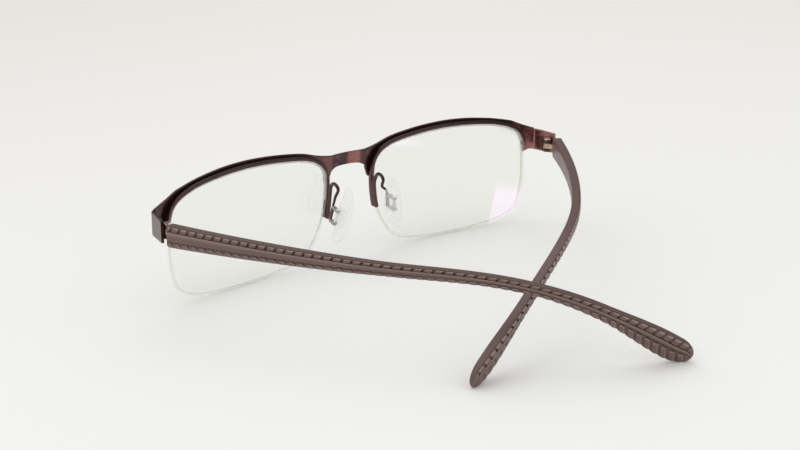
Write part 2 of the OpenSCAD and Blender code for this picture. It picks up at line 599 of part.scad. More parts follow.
front_plate();
on_side(-1) half_rim();  // left_half_rim
on_side(1) half_rim();  // right_half_rim
on_side(-1) rim_liner();  // left_rim_liner
on_side(1) rim_liner();  // right_rim_liner
on_side(-1) lens();  // left_lens
on_side(1) lens();  // right_lens
on_side(-1) lens_cord();  // left_lens_cord
on_side(1) lens_cord();  // right_lens_cord
on_side(-1) pad_arm();  // left_pad_arm
on_side(1) pad_arm();  // right_pad_arm
at_pad(-1) pad_core();  // left_pad_core
at_pad(1) pad_core();  // right_pad_core
at_pad(-1) nose_pad();  // left_nose_pad
at_pad(1) nose_pad();  // right_nose_pad
at_pad(-1) pad_screw();  // left_pad_screw
at_pad(1) pad_screw();  // right_pad_screw
on_side(-1) front_hinge();  // left_front_hinge
on_side(1) front_hinge();  // right_front_hinge
folded(-1) temple_hinge();  // left_temple_hinge
folded(1) temple_hinge();  // right_temple_hinge
on_side(-1) hinge_screw();  // left_hinge_screw
on_side(1) hinge_screw();  // right_hinge_screw
folded(-1) temple();  // left_temple
folded(1) temple();  // right_temple
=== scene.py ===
import math

import bpy
import numpy as np
from mathutils import Matrix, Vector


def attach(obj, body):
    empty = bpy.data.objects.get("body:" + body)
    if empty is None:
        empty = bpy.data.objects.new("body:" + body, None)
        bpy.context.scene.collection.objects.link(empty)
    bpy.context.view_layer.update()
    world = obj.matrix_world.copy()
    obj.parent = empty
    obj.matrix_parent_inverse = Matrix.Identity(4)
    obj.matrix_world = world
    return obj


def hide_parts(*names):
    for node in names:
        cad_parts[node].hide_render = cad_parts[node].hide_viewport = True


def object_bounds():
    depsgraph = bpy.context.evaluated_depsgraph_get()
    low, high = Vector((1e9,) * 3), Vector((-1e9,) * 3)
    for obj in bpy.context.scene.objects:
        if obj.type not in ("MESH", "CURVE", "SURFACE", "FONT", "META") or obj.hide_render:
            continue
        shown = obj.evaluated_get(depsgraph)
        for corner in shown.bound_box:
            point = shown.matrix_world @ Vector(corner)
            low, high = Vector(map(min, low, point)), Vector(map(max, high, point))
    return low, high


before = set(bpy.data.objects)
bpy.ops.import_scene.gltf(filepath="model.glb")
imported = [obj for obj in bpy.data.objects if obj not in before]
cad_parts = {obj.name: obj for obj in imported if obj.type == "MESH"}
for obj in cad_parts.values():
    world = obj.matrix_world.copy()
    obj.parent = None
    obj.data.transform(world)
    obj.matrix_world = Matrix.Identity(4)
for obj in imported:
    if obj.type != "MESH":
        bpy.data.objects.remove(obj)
cad_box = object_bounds()
scene = bpy.context.scene

# Camera: a long lens on a tripod, looking down a little at the folded frame.
# Its place and turn were fitted to the photograph; the focal length is in pixels.
PHOTO_WIDTH, FOCAL_PIXELS, SENSOR_WIDTH = 800, 1705.53, 36
CAMERA_DISTANCE, PER_METRE = 449.99, 1000
AIM = np.array([-14.29, -40, 5.92])
PAN, TILT = math.radians(-39.169), math.radians(17.657)
sight = np.array([-math.sin(PAN) * math.cos(TILT), math.cos(PAN) * math.cos(TILT), -math.sin(TILT)])
rightward = np.array([math.cos(PAN), math.sin(PAN), 0])


def looking(place, right, up, ahead):
    """World matrix of a camera or lamp that stands at place, in metres, and looks
    ahead, made of its three directions and its place as columns."""
    matrix = np.eye(4)
    matrix[:3] = np.column_stack([right, up, -ahead, place])
    return Matrix(matrix)


camera_data = bpy.data.cameras.new("photo_camera")
camera_data.sensor_width = SENSOR_WIDTH
camera_data.lens = FOCAL_PIXELS / PHOTO_WIDTH * SENSOR_WIDTH
camera_data.clip_start, camera_data.clip_end = 0.01, 20
camera = bpy.data.objects.new("photo_camera", camera_data)
scene.collection.objects.link(camera)
camera.matrix_world = looking((AIM - sight * CAMERA_DISTANCE) / PER_METRE, rightward,
                              np.cross(rightward, sight), sight)
scene.camera = camera
scene.view_settings.view_transform = "Standard"

# Lenses: a pair of clear coated resin lenses, cut with a groove round the edge.
# Front and back are patches of large spheres, turned back by the face form.
LENS_W, LENS_H, LENS_T, BASE_R, BRIDGE_W = 55, 33.2, 2, 145, 17
WRAP, LEAN = math.radians(4.9), math.radians(0.1)
HALF_W, HALF_H = LENS_W / 2, LENS_H / 2
SIDES = ((1, "right"), (-1, "left"))
EYE_X = BRIDGE_W / 2 + HALF_W
GROOVE_W, GROOVE_D, SEAT = 0.6, 0.6, 0.03
LENS_KNOTS = np.array([
    [1, 0.02], [0.98, 0.47], [0.9, 0.73], [0.67, 0.89], [0.33, 0.97], [-0.04, 1], [-0.44, 0.97],
    [-0.78, 0.89], [-0.95, 0.72], [-1, 0.43], [-0.96, -0.16], [-0.83, -0.6], [-0.66, -0.85],
    [-0.37, -0.96], [0.03, -1], [0.44, -0.97], [0.75, -0.87], [0.92, -0.68], [0.985, -0.34]])


def through(knots, t, closed=False):
    """Point at t of the smooth curve through the knots. Each span is a cubic that
    leaves its knot along the line between that knot's two neighbours."""
    knots = np.asarray(knots, float)
    count = len(knots)
    span = np.floor(t).astype(int)
    if not closed:
        span = np.clip(span, 0, count - 2)
    share = t - span
    share = share[..., None] if knots.ndim > 1 else share

    def knot(place):
        return knots[place % count] if closed else knots[np.clip(place, 0, count - 1)]
    a, b, c, d = knot(span - 1), knot(span), knot(span + 1), knot(span + 2)
    square, cube = 2 * a - 5 * b + 4 * c - d, 3 * b - a - 3 * c + d
    return 0.5 * (2 * b + (c - a) * share + square * share ** 2 + cube * share ** 3)


def unit(v):
    """Each vector along the last axis, divided by its length."""
    return v / np.linalg.norm(v, axis=-1, keepdims=True)


def back_depth(x, z):
    """Depth of the lens back at x, z: minus the face form's slope, minus the
    squared distance from the lens centre over twice the base radius."""
    return -math.tan(WRAP) * (x - EYE_X) - math.tan(LEAN) * z - ((x - EYE_X) ** 2 + z ** 2) / (2 * BASE_R)


def edge_points(t, out, fore):
    """Points of the right lens outline at knot t, moved outward by out in the lens
    plane, across the outline, and forward by fore from the lens back."""
    t = np.asarray(t, float)
    knot = through(LENS_KNOTS, t, True)
    ahead = through(LENS_KNOTS, t + 0.05, True) - through(LENS_KNOTS, t - 0.05, True)
    outward = unit(np.stack([ahead[..., 1] * HALF_H, -ahead[..., 0] * HALF_W], -1))
    x = EYE_X + knot[..., 0] * HALF_W + outward[..., 0] * out
    z = knot[..., 1] * HALF_H + outward[..., 1] * out
    return np.stack(np.broadcast_arrays(x, back_depth(x, z) + fore, z), -1)


def run_length(points):
    """Distance of each point from the first, along the line through them all."""
    return np.concatenate([[0], np.cumsum(np.linalg.norm(np.diff(points, axis=0), axis=1))])


def skin(name, rings, side=1, sharp=40, marks=None):
    """Mesh piece over a grid of points in millimetres, rings by points of a ring.
    Rings close round, and a fan to its middle closes each end. side -1 mirrors the
    piece to the left. Faces are turned outward by the sign of the volume, and edges
    of more than sharp degrees stay sharp. The UV map holds millimetres along and
    round. marks are values per point, kept as attributes."""
    count, size = rings.shape[:2]
    points = np.concatenate([rings.reshape(-1, 3), rings[[0, -1]].mean(1)]) * [side, 1, 1]
    starts, steps = np.meshgrid(np.arange(count - 1) * size, np.arange(size), indexing="ij")
    start, step = starts.ravel(), steps.ravel()
    beside = (step + 1) % size
    quads = np.stack([start + step, start + beside, start + size + beside, start + size + step], 1)
    ring, last = np.arange(size), (count - 1) * size
    beside = (ring + 1) % size
    fans = np.concatenate([np.stack([np.full(size, count * size), beside, ring], 1),
                           np.stack([np.full(size, count * size + 1), last + ring, last + beside], 1)])
    triangles = np.concatenate([quads[:, [0, 1, 2]], quads[:, [0, 2, 3]], fans])
    first, second, third = (points[triangles[:, corner]] for corner in range(3))
    if np.einsum("ij,ij->", first, np.cross(second, third)) < 0:
        quads, fans = quads[:, ::-1], fans[:, ::-1]
    mesh = bpy.data.meshes.new(name)
    loops = np.concatenate([quads.ravel(), fans.ravel()])
    sizes = np.concatenate([np.full(len(quads), 4), np.full(len(fans), 3)])
    mesh.vertices.add(len(points))
    mesh.vertices.foreach_set("co", (points / PER_METRE).ravel())
    mesh.loops.add(len(loops))
    mesh.loops.foreach_set("vertex_index", loops)
    mesh.polygons.add(len(sizes))
    mesh.polygons.foreach_set("loop_start", np.concatenate([[0], np.cumsum(sizes)[:-1]]))
    mesh.polygons.foreach_set("use_smooth", np.ones(len(sizes), bool))
    mesh.update(calc_edges=True)
    mesh.validate()

    def with_ends(values):
        return np.concatenate([values, values[[0, -1]]])
    along, around = run_length(rings.mean(1)), run_length(rings[count // 2])
    where = with_ends(np.stack(np.broadcast_arrays(along[:, None], around[None, :]), -1).reshape(-1, 2))
    index = np.zeros(len(mesh.loops), int)
    mesh.loops.foreach_get("vertex_index", index)
    uv = mesh.uv_layers.new(name="surface")
    uv.data.foreach_set("uv", where[index].ravel().astype(np.float32))
    for mark, values in (marks or {}).items():
        values = with_ends(np.broadcast_to(values, (count, size)).ravel())
        mesh.attributes.new(mark, "FLOAT", "POINT").data.foreach_set("value", values.astype(np.float32))
    mesh.set_sharp_from_angle(angle=math.radians(sharp))
    piece = bpy.data.objects.new(name, mesh)
    scene.collection.objects.link(piece)
    return piece


def fill_sockets(node, inputs):
    """Sets each of a node's sockets to its value, or links it to its socket. A socket
    goes by its name with _ for a space, or by the letter i and its number."""
    for key, value in inputs.items():
        socket = node.inputs[int(key[1:])] if key[1:].isdigit() else node.inputs[key.replace("_", " ")]
        if isinstance(value, bpy.types.NodeSocket):
            node.id_data.links.new(value, socket)
        else:
            socket.default_value = value


def node_adder(tree):
    """A function that adds a node to the tree, with its settings and sockets."""
    def add(kind, settings=None, **inputs):
        node = tree.nodes.new("ShaderNode" + kind)
        for key, value in (settings or {}).items():
            setattr(node, key, value)
        fill_sockets(node, inputs)
        return node
    return add


def finish_nodes(name):
    """A new material, with a function that adds a node to it and one that fills the
    sockets of its Principled shader."""
    material = bpy.data.materials.new(name)
    material.use_nodes = True
    shader = material.node_tree.nodes["Principled BSDF"]
    return material, node_adder(material.node_tree), lambda **inputs: fill_sockets(shader, inputs)


def scaled(add, value, low, high, from_low=0, from_high=1):
    """Value carried from its own range to the range from low to high."""
    return add("MapRange", None, Value=value, From_Min=from_low, From_Max=from_high,
               To_Min=low, To_Max=high).outputs[0]


def product(add, *values):
    """Sockets or numbers multiplied together."""
    made = values[0]
    for value in values[1:]:
        made = add("Math", {"operation": "MULTIPLY"}, i0=made, i1=value).outputs[0]
    return made


def blend(add, share, first, second):
    """Colour at the share of the way from first to second, which are three numbers
    each or another colour socket."""
    first, second = (v if isinstance(v, bpy.types.NodeSocket) else (*v, 1) for v in (first, second))
    return add("Mix", {"data_type": "RGBA"}, i0=share, i6=first, i7=second).outputs[2]


def value_group(name, given, made):
    """A new node group that makes one value out of the numbers given to it, with the
    two nodes inside it that hold those sockets."""
    group = bpy.data.node_groups.new(name, "ShaderNodeTree")
    for socket, way in [(word, "INPUT") for word in given] + [(made, "OUTPUT")]:
        group.interface.new_socket(name=socket, in_out=way, socket_type="NodeSocketFloat")
    return group, group.nodes.new("NodeGroupInput"), group.nodes.new("NodeGroupOutput")


def mottling_group():
    """Mottled matter as a value: noise in the piece's own space, of Scale cells to
    the metre and Detail finer layers."""
    group, entry, leave = value_group("mottling", ("Scale", "Detail"), "Mottle")
    add = node_adder(group)
    noise = add("TexNoise", None, Vector=add("TexCoord").outputs["Object"], Scale=entry.outputs["Scale"],
                Detail=entry.outputs["Detail"])
    fill_sockets(leave, {"Mottle": noise.outputs["Fac"]})
    return group


mottling = mottling_group()


def mottled(add, scale, detail):
    """The mottling group placed in a material: its value."""
    return add("Group", {"node_tree": mottling}, Scale=scale, Detail=detail).outputs["Mottle"]


def mottled_finish(name, scale, detail, first, second, rough=None, **plain):
    """A material whose colour drifts with the mottling from first to second, and its
    roughness between the two values of rough. plain fills further sockets. Returned
    with its two functions and the mottling."""
    material, add, give = finish_nodes(name)
    mottle = mottled(add, scale, detail)
    give(Base_Color=blend(add, mottle, first, second), **plain)
    if rough:
        give(Roughness=scaled(add, mottle, *rough))
    return material, add, give, mottle


def lamp_clear(material, add, share):
    """Lets lamps through a clear piece: for shadow rays its shader gives way to a
    clear one by the share."""
    nodes = material.node_tree.nodes
    shadow = product(add, add("LightPath").outputs["Is Shadow Ray"], share)
    mix = add("MixShader", None, i0=shadow, i1=nodes["Principled BSDF"].outputs[0],
              i2=add("BsdfTransparent").outputs[0])
    fill_sockets(nodes["Material Output"], {"Surface": mix.outputs[0]})


resin, add, give = finish_nodes("coated_resin")
give(Base_Color=(0.965, 0.972, 0.95, 1), Roughness=0, IOR=1.12, Transmission_Weight=1,
     Coat_Weight=1, Coat_Roughness=0.01)
lamp_clear(resin, add, 0.98)
ground, add, give, frost = mottled_finish("ground_lens_edge", 1200, 2, (0.95, 0.95, 0.9), (0.99, 0.99, 0.96),
                                          Roughness=0.7, Specular_IOR_Level=0.2)
give(Alpha=scaled(add, frost, 0.15, 0.3))
lamp_clear(ground, add, 0.9)

LENS_STEPS, LENS_RINGS = 240, 24
lens_t = np.arange(LENS_STEPS) * len(LENS_KNOTS) / LENS_STEPS
CHAMFER = 0.08
groove_mid = LENS_T / 2
edge_profile = [(-CHAMFER, 0), (0, CHAMFER), (0, groove_mid - GROOVE_W / 2),
                (-GROOVE_D, groove_mid - GROOVE_W / 2), (-GROOVE_D, groove_mid + GROOVE_W / 2),
                (0, groove_mid + GROOVE_W / 2), (0, LENS_T - CHAMFER), (-CHAMFER, LENS_T)]
shrink = np.linspace(0.02, 0.985, LENS_RINGS)


def lens_face(depth, shares):
    """Rings of a lens face: the outline shrunk towards the lens centre by each
    share, at the given depth in front of the lens back."""
    knot = through(LENS_KNOTS, lens_t, True)[None] * shares[:, None, None]
    x, z = EYE_X + knot[..., 0] * HALF_W, knot[..., 1] * HALF_H
    return np.stack([x, back_depth(x, z) + depth, z], -1)


lens_rings = np.concatenate([lens_face(0, shrink)] + [edge_points(lens_t, *p)[None] for p in edge_profile]
                            + [lens_face(LENS_T, shrink[::-1])])
for side, word in SIDES:
    lens = skin(word + "_lens_clear", lens_rings, side, sharp=30)
    lens.data.materials.append(resin)
    lens.data.materials.append(ground)
    row = np.arange(len(lens.data.polygons)) // LENS_STEPS
    on_edge = (row >= len(shrink)) & (row < len(shrink) + len(edge_profile) - 1)
    lens.data.polygons.foreach_set("material_index", on_edge.astype(np.int32))
    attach(lens, "front")
    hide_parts(word + "_lens")

# Front plate: one strip of stamped metal that makes the bridge, the two brow
# bars and both end pieces. Brushed lengthwise, then lacquered dark wine; it is
# brazed to the eyewires behind it.
BRIDGE_Z, BRIDGE_H, BRIDGE_BOW, CREASE_X, FOOT_Z, BROW_H = 14.5, 3.6, 1.2, 6, 6.2, 1.85
CREASE_RISE, END_OUT = 0.25, 0.5
PLATE_T, RIM_H, RIM_D, CHANNEL_D, BRAZE, PLATE_IN = 0.8, 1.05, 1.5, 0.6, 0.1, 0.2
LUG_X, LUG_LEN, LUG_H, LUG_FALL, BEND_R, HINGE_Z = EYE_X + HALF_W + 5.9, 6.9, 6.7, 0.5, 0.8, 7.7
LUG_TURN = math.radians(90 - 12.5)
RIM_BACK = (LENS_T - RIM_D) / 2
RIM_FRONT = RIM_BACK + RIM_D
PLATE_FORE = RIM_FRONT + BRAZE + PLATE_T / 2
LUG_TOP_UP, LUG_LOW_UP, LUG_GAP = 0.7, 0.8, 0.4
BRIDGE_STATIONS, RIM_STATIONS, BEND_STATIONS, LUG_STATIONS, FAN_STATIONS = 4, 32, 5, 4, 5
lug_top = HINGE_Z + LUG_TOP_UP + LUG_H / 2
lug_low = HINGE_Z + LUG_LOW_UP - LUG_H / 2
BROW_KNOTS = np.array([
    [0, BRIDGE_Z], [CREASE_X * 0.6, BRIDGE_Z + 0.2 * CREASE_RISE], [CREASE_X, BRIDGE_Z + CREASE_RISE],
    [EYE_X - 0.94 * HALF_W, 0.815 * HALF_H + BROW_H], [EYE_X - 0.76 * HALF_W, 0.895 * HALF_H + BROW_H],
    [EYE_X - 0.58 * HALF_W, 0.94 * HALF_H + BROW_H], [EYE_X - 0.3 * HALF_W, 0.98 * HALF_H + BROW_H],
    [EYE_X, 0.995 * HALF_H + BROW_H], [EYE_X + 0.3 * HALF_W, 0.97 * HALF_H + BROW_H],
    [EYE_X + 0.62 * HALF_W, 0.9 * HALF_H + BROW_H], [EYE_X + 0.86 * HALF_W, 0.812 * HALF_H + BROW_H],
    [EYE_X + HALF_W, 0.71 * HALF_H + BROW_H], [LUG_X - 0.6, lug_top + 0.1]])


def plate_points(x, z):
    """Middle of the sheet at x, z: the lens back carried forward past the eyewire,
    and over the bridge a parabola that bows further out."""
    beyond = np.maximum(np.abs(x), CREASE_X)
    bow = np.maximum(0, 1 - (x / CREASE_X) ** 2)
    return np.stack(np.broadcast_arrays(x, back_depth(beyond, z) + PLATE_FORE + BRIDGE_BOW * bow, z), -1)


def brow_height(x):
    """Height of the plate's top edge at x: the smooth curve through the brow knots,
    taken at the share of the span that x has reached."""
    knots = BROW_KNOTS[:, 0]
    span = np.clip(np.searchsorted(knots, x, side="left") - 1, 0, len(knots) - 2)
    share = np.clip((x - knots[span]) / (knots[span + 1] - knots[span]), 0, 1)
    return through(BROW_KNOTS[:, 1], span + share)


def lerp(a, b, t):
    """The value at share t of the way from a to b."""
    return a + (b - a) * t


nose_x, end_x = EYE_X - HALF_W - PLATE_IN, EYE_X + HALF_W + PLATE_IN + END_OUT
bend_x = LUG_X - PLATE_T - BEND_R - LUG_GAP
nose_edge = np.array([
    [CREASE_X, BRIDGE_Z - BRIDGE_H - 1], [CREASE_X + 0.4, BRIDGE_Z - BRIDGE_H - 2.1],
    [lerp(CREASE_X, nose_x, 0.38), lerp(FOOT_Z, BRIDGE_Z - BRIDGE_H, 0.28)],
    [lerp(CREASE_X, nose_x, 0.58), FOOT_Z + 0.25], [lerp(CREASE_X, nose_x, 0.78), FOOT_Z],
    [nose_x - 0.12, FOOT_Z + 0.5]])
end_edge = np.array([
    [end_x - 0.25, lerp(lug_low, 0.47 * HALF_H, 0.35)], [end_x, lug_low - 0.2],
    [lerp(end_x, bend_x, 0.3), lug_low + 0.1], [lerp(end_x, bend_x, 0.6), lug_low + 0.35],
    [bend_x, lug_low + 0.2]])
brow_t = 8.75 - np.arange(RIM_STATIONS) / 4
rim_run = edge_points(brow_t, PLATE_IN + END_OUT * np.maximum(0, 1 - (brow_t - 1) / 2), 0)
low = np.concatenate([plate_points(nose_edge[:, 0], nose_edge[:, 1]),
                      plate_points(rim_run[:, 0], rim_run[:, 2]),
                      plate_points(end_edge[:, 0], end_edge[:, 1])])
last_station = len(low) - 1
fan_in, fan_out = len(nose_edge) + FAN_STATIONS, last_station + 1 - len(end_edge) - FAN_STATIONS
station = np.arange(len(low))
top_x = np.where(
    station <= fan_in, lerp(CREASE_X, low[fan_in, 0] + 0.25, station / fan_in),
    np.where(station >= fan_out,
             lerp(low[fan_out, 0] + 0.15, bend_x, (station - fan_out) / (last_station - fan_out)),
             low[:, 0] + 0.2 * (fan_out - station) / (fan_out - fan_in)))
high = plate_points(top_x, brow_height(top_x))
bridge_x = CREASE_X * np.arange(BRIDGE_STATIONS) / BRIDGE_STATIONS
bridge_low = plate_points(bridge_x, BRIDGE_Z - BRIDGE_H - (bridge_x / CREASE_X) ** 4 * 0.8)
bridge_high = plate_points(bridge_x, brow_height(bridge_x))
front_turn = math.atan(math.tan(WRAP) + (bend_x - EYE_X) / BASE_R)
bend_mid = BEND_R + PLATE_T / 2
bend_turn = lerp(front_turn, LUG_TURN, np.arange(1, BEND_STATIONS + 1) / BEND_STATIONS)
bend_start = plate_points(np.array(bend_x), np.array(HINGE_Z))[:2]
bend_xy = bend_start + bend_mid * np.stack([np.sin(bend_turn) - math.sin(front_turn),
                                            np.cos(bend_turn) - math.cos(front_turn)], -1)
lug_run = LUG_LEN * np.arange(1, LUG_STATIONS + 1) / LUG_STATIONS
lug_xy = bend_xy[-1] + lug_run[:, None] * [math.cos(LUG_TURN), -math.sin(LUG_TURN)]
end_xy = np.concatenate([bend_xy, lug_xy])
end_run = np.concatenate([bend_mid * (bend_turn - front_turn), lug_run])
end_turn = np.concatenate([bend_turn, np.full(LUG_STATIONS, LUG_TURN)])
end_low = np.column_stack([end_xy, lug_low + 0.2 * (1 - np.minimum(1, end_run / 2))])
end_high = np.column_stack([end_xy, lug_top - LUG_FALL * end_run / LUG_LEN])
lows = np.concatenate([bridge_low, low, end_low])
highs = np.concatenate([bridge_high, high, end_high])
outward = np.zeros_like(lows)
outward[:, 1] = 1
outward[-len(end_turn):] = np.column_stack([np.sin(end_turn), np.cos(end_turn), np.zeros(len(end_turn))])

MOST_OF_EDGE = 0.45


def rounded_ring(corners, radii, steps):
    """Closed outline with its corners rounded: each corner gives way to a curve of
    second degree that starts and ends a radius away along the two edges, or less of
    a short edge. Corners lie along the second last axis; a radius of 0 keeps the
    corner as one point."""
    before, after = np.roll(corners, 1, -2), np.roll(corners, -1, -2)
    t = np.linspace(0, 1, steps + 1)[:, None]
    parts = []
    for place, radius in enumerate(radii):
        tip = corners[..., place, :]
        if radius == 0:
            parts.append(tip[..., None, :])
            continue
        ends = []
        for neighbour in (before[..., place, :], after[..., place, :]):
            length = np.linalg.norm(neighbour - tip, axis=-1, keepdims=True)
            reach = np.minimum(MOST_OF_EDGE, radius / np.maximum(length, 1e-6))
            ends.append((tip + (neighbour - tip) * reach)[..., None, :])
        parts.append(ends[0] * (1 - t) ** 2 + 2 * tip[..., None, :] * t * (1 - t) + ends[1] * t ** 2)
    return np.concatenate(parts, -2)


STATION_STEPS, EDGE_R, CORNER_POINTS, FACE_ROWS = 6, 0.22, 5, 7
plate_t = np.linspace(0, len(lows) - 1, (len(lows) - 1) * STATION_STEPS + 1)
lows, highs, outward = through(lows, plate_t), through(highs, plate_t), unit(through(outward, plate_t))
flip = np.array([-1, 1, 1])
lows, highs, outward = (np.concatenate([v[:0:-1] * flip, v]) for v in (lows, highs, outward))
half_sheet = PLATE_T / 2
corners = np.stack([lows - outward * half_sheet, highs - outward * half_sheet,
                    highs + outward * half_sheet, lows + outward * half_sheet], 1)
outline = rounded_ring(corners, [EDGE_R] * 4, CORNER_POINTS - 1)
on_face = np.linspace(0, 1, FACE_ROWS + 2)[1:-1, None]
back_at, front_at = CORNER_POINTS, 3 * CORNER_POINTS
flat_back, flat_front = (lerp(outline[:, [at - 1]], outline[:, [at]], on_face) for at in (back_at, front_at))
plate_rings = np.concatenate([outline[:, :back_at], flat_back, outline[:, back_at:front_at], flat_front,
                              outline[:, front_at:]], 1)
# The edge mark picks out the sheet's rounded corners, where the finish shows copper as edge wear and as a
# painted edge highlight.
flat_mark, corner_mark = np.zeros(FACE_ROWS), np.ones(CORNER_POINTS)
edge_mark = np.concatenate([corner_mark, flat_mark, corner_mark, corner_mark, flat_mark, corner_mark])
front_plate = skin("stamped_front_plate", plate_rings, sharp=50, marks={"edge": edge_mark[None]})


def brushing_group():
    """Brushed lacquer as a value: fine noise drawn out along the piece."""
    group, entry, leave = value_group("brushing", ("Along", "Across"), "Streaks")
    add = node_adder(group)
    place = add("SeparateXYZ", None, i0=add("UVMap", {"uv_map": "surface"}).outputs[0])
    drawn = add("CombineXYZ", None, i0=product(add, place.outputs["X"], entry.outputs["Along"]),
                i1=product(add, place.outputs["Y"], entry.outputs["Across"]))
    streaks = add("TexNoise", None, Vector=drawn.outputs[0], Scale=1, Detail=5, Roughness=0.6)
    fill_sockets(leave, {"Streaks": streaks.outputs["Fac"]})
    return group


brushing = brushing_group()
DARK_WINE, COPPER, BRUSH_DEPTH = (0.034, 0.015, 0.014), (0.46, 0.19, 0.17), 0.00002


def wine_finish(name, along, across, worn_and_highlit, painted_sheen_rows):
    """Lacquered, brushed metal: streaks run between dark wine and copper, and the cut
    edges, where the mark is 1, show the copper by the given share, part edge wear and part painted
    edge highlight. The rows are [millimetres along the piece, share of copper shown]: painted reflections and
    highlights laid along the piece."""
    material, add, give = finish_nodes(name)
    streaks = add("Group", {"node_tree": brushing}, Along=along, Across=across).outputs["Streaks"]
    place = add("SeparateXYZ", None, i0=add("UVMap", {"uv_map": "surface"}).outputs[0])
    length = painted_sheen_rows[-1][0]
    share = add("Math", {"operation": "DIVIDE"}, i0=place.outputs["X"], i1=length)
    sheen_ramp = add("ValToRGB", None, Fac=share.outputs[0])
    stops = sheen_ramp.color_ramp.elements
    for at, value in painted_sheen_rows:
        stop = stops.new(at / length)
        stop.color = (value, value, value, 1)
    stops.remove(stops[0])
    stops.remove(stops[-1])
    shown = product(add, sheen_ramp.outputs["Color"], scaled(add, streaks, 0.25, 1.5, 0.3, 0.72))
    edge_wear_and_highlight = product(add, add("Attribute", {"attribute_name": "edge"}).outputs["Fac"], worn_and_highlit)
    most = add("Math", {"operation": "MAXIMUM", "use_clamp": True}, i0=shown, i1=edge_wear_and_highlight)
    bump = add("Bump", None, Strength=0.25, Distance=BRUSH_DEPTH, Height=streaks)
    give(Base_Color=blend(add, most.outputs[0], DARK_WINE, COPPER), Roughness=scaled(add, streaks, 0.22, 0.4),
         Normal=bump.outputs[0], Metallic=0.85, Coat_Weight=0.5, Coat_Roughness=0.16)
    return material


# Painted reflections along the plate: copper bands where the bowed bridge and the end pieces mirror light,
# and a painted highlight at each end piece's bend. Each row is millimetres from the middle and the share of
# copper.
plate_painted_reflections = [[-75, 0.1], [-68.5, 0.05], [-66.5, 0.12], [-60, 0.05], [-30, 0.1], [-12, 0.2], [-9, 0.38],
                [-6.4, 0.42], [-5.7, 0.06], [0.1, 0.07], [1.1, 0.7], [3.4, 0.85], [4.3, 0.75], [5, 0.14],
                [7, 0.12], [9, 0.05], [30, 0.1], [54, 0.08], [58, 0.14], [60.5, 0.04], [63.5, 0.1],
                [64.8, 0.28], [66.4, 0.5], [67.5, 0.4], [68.2, 0.08], [75, 0.14]]
strip = run_length(plate_rings.mean(1))[-1]
plate_finish = wine_finish("wine_lacquered_front", 0.35, 9, 0.12,
                           [[min(max(at + strip / 2, 0), strip), value] for at, value in plate_painted_reflections])
front_plate.data.materials.append(plate_finish)
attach(front_plate, "front")
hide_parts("front_plate")

# Eyewires: a drawn, channelled wire over the top of each lens, in the same
# wine lacquer. Its open channel faces the lens and holds the nylon liner.
RIM_FROM, RIM_TO, CORD_IN = 0.68, 10, 0.25
CHANNEL_W = GROOVE_W + 0.2
rim_profile = [(SEAT, RIM_BACK), (RIM_H, RIM_BACK), (RIM_H, RIM_FRONT), (SEAT, RIM_FRONT),
               (SEAT, groove_mid + CHANNEL_W / 2), (CHANNEL_D, groove_mid + CHANNEL_W / 2),
               (CHANNEL_D, groove_mid - CHANNEL_W / 2), (SEAT, groove_mid - CHANNEL_W / 2)]


def edge_sweep(start, stop, profile, per_knot):
    """A profile of (outward, forward) offsets carried along the lens outline from
    knot start to knot stop: rings of points."""
    t = np.linspace(start, stop, int(round(abs(stop - start) * per_knot)) + 1)
    return np.stack([edge_points(t, out, fore) for out, fore in profile], 1)


RIM_EDGE_R, RIM_OUTER_R, CHANNEL_R, RIM_STEPS, BEAD_STEPS = 0.08, 0.3, 0.05, 20, 3
rim_radii = [RIM_EDGE_R, RIM_OUTER_R, RIM_OUTER_R, RIM_EDGE_R] + [CHANNEL_R] * 4
rim_rings = rounded_ring(edge_sweep(RIM_TO, RIM_FROM, rim_profile, RIM_STEPS), rim_radii, BEAD_STEPS)
# The eyewire's rows paint reflections along the wire, with more copper near its two ends.
rim_finish = wine_finish("wine_lacquered_eyewire", 0.5, 7, 0.1,
                         [[0, 0.2], [12, 0.14], [18, 0.04], [62, 0.04], [70, 0.12], [80, 0.1]])
for side, word in SIDES:
    rim = skin(word + "_eyewire", rim_rings, side, sharp=50)
    rim.data.materials.append(rim_finish)
    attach(rim, "front")
    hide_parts(word + "_half_rim")

# Liners and cords: drawn nylon. The liner is pressed into the eyewire's channel
# with its bead in the lens groove; the clear cord below holds the lens by its groove.
nylon, add, give, cloud = mottled_finish("drawn_nylon", 900, 2, (0.9, 0.9, 0.82), (0.96, 0.955, 0.9),
                                         (0.25, 0.4))
give(Alpha=scaled(add, cloud, 0.4, 0.65))
lamp_clear(nylon, add, 0.7)
bead, ledge = GROOVE_W / 2 - SEAT, CHANNEL_W / 2 - SEAT
BEAD_GAP, BEAD_R, LEDGE_R, LINER_STEPS, CORD_SIDES = 0.1, 0.15, 0.04, 12, 12
liner_profile = [(BEAD_GAP - GROOVE_D, groove_mid - bead), (2 * SEAT, groove_mid - bead),
                 (2 * SEAT, groove_mid - ledge), (CHANNEL_D - SEAT, groove_mid - ledge),
                 (CHANNEL_D - SEAT, groove_mid + ledge), (2 * SEAT, groove_mid + ledge),
                 (2 * SEAT, groove_mid + bead), (BEAD_GAP - GROOVE_D, groove_mid + bead)]
liner_radii = [BEAD_R, 0, LEDGE_R, LEDGE_R, LEDGE_R, LEDGE_R, 0, BEAD_R]
liner_run = edge_sweep(RIM_TO - 2 * CORD_IN, RIM_FROM + 2 * CORD_IN, liner_profile, LINER_STEPS)
liner_rings = rounded_ring(liner_run, liner_radii, BEAD_STEPS)
turns = np.linspace(0, 2 * math.pi, CORD_SIDES, endpoint=False)
cord_profile = [(bead * math.cos(turn) - bead - SEAT, groove_mid + bead * math.sin(turn)) for turn in turns]
cord_rings = edge_sweep(len(LENS_KNOTS) + RIM_FROM + CORD_IN, RIM_TO - CORD_IN, cord_profile, RIM_STEPS)
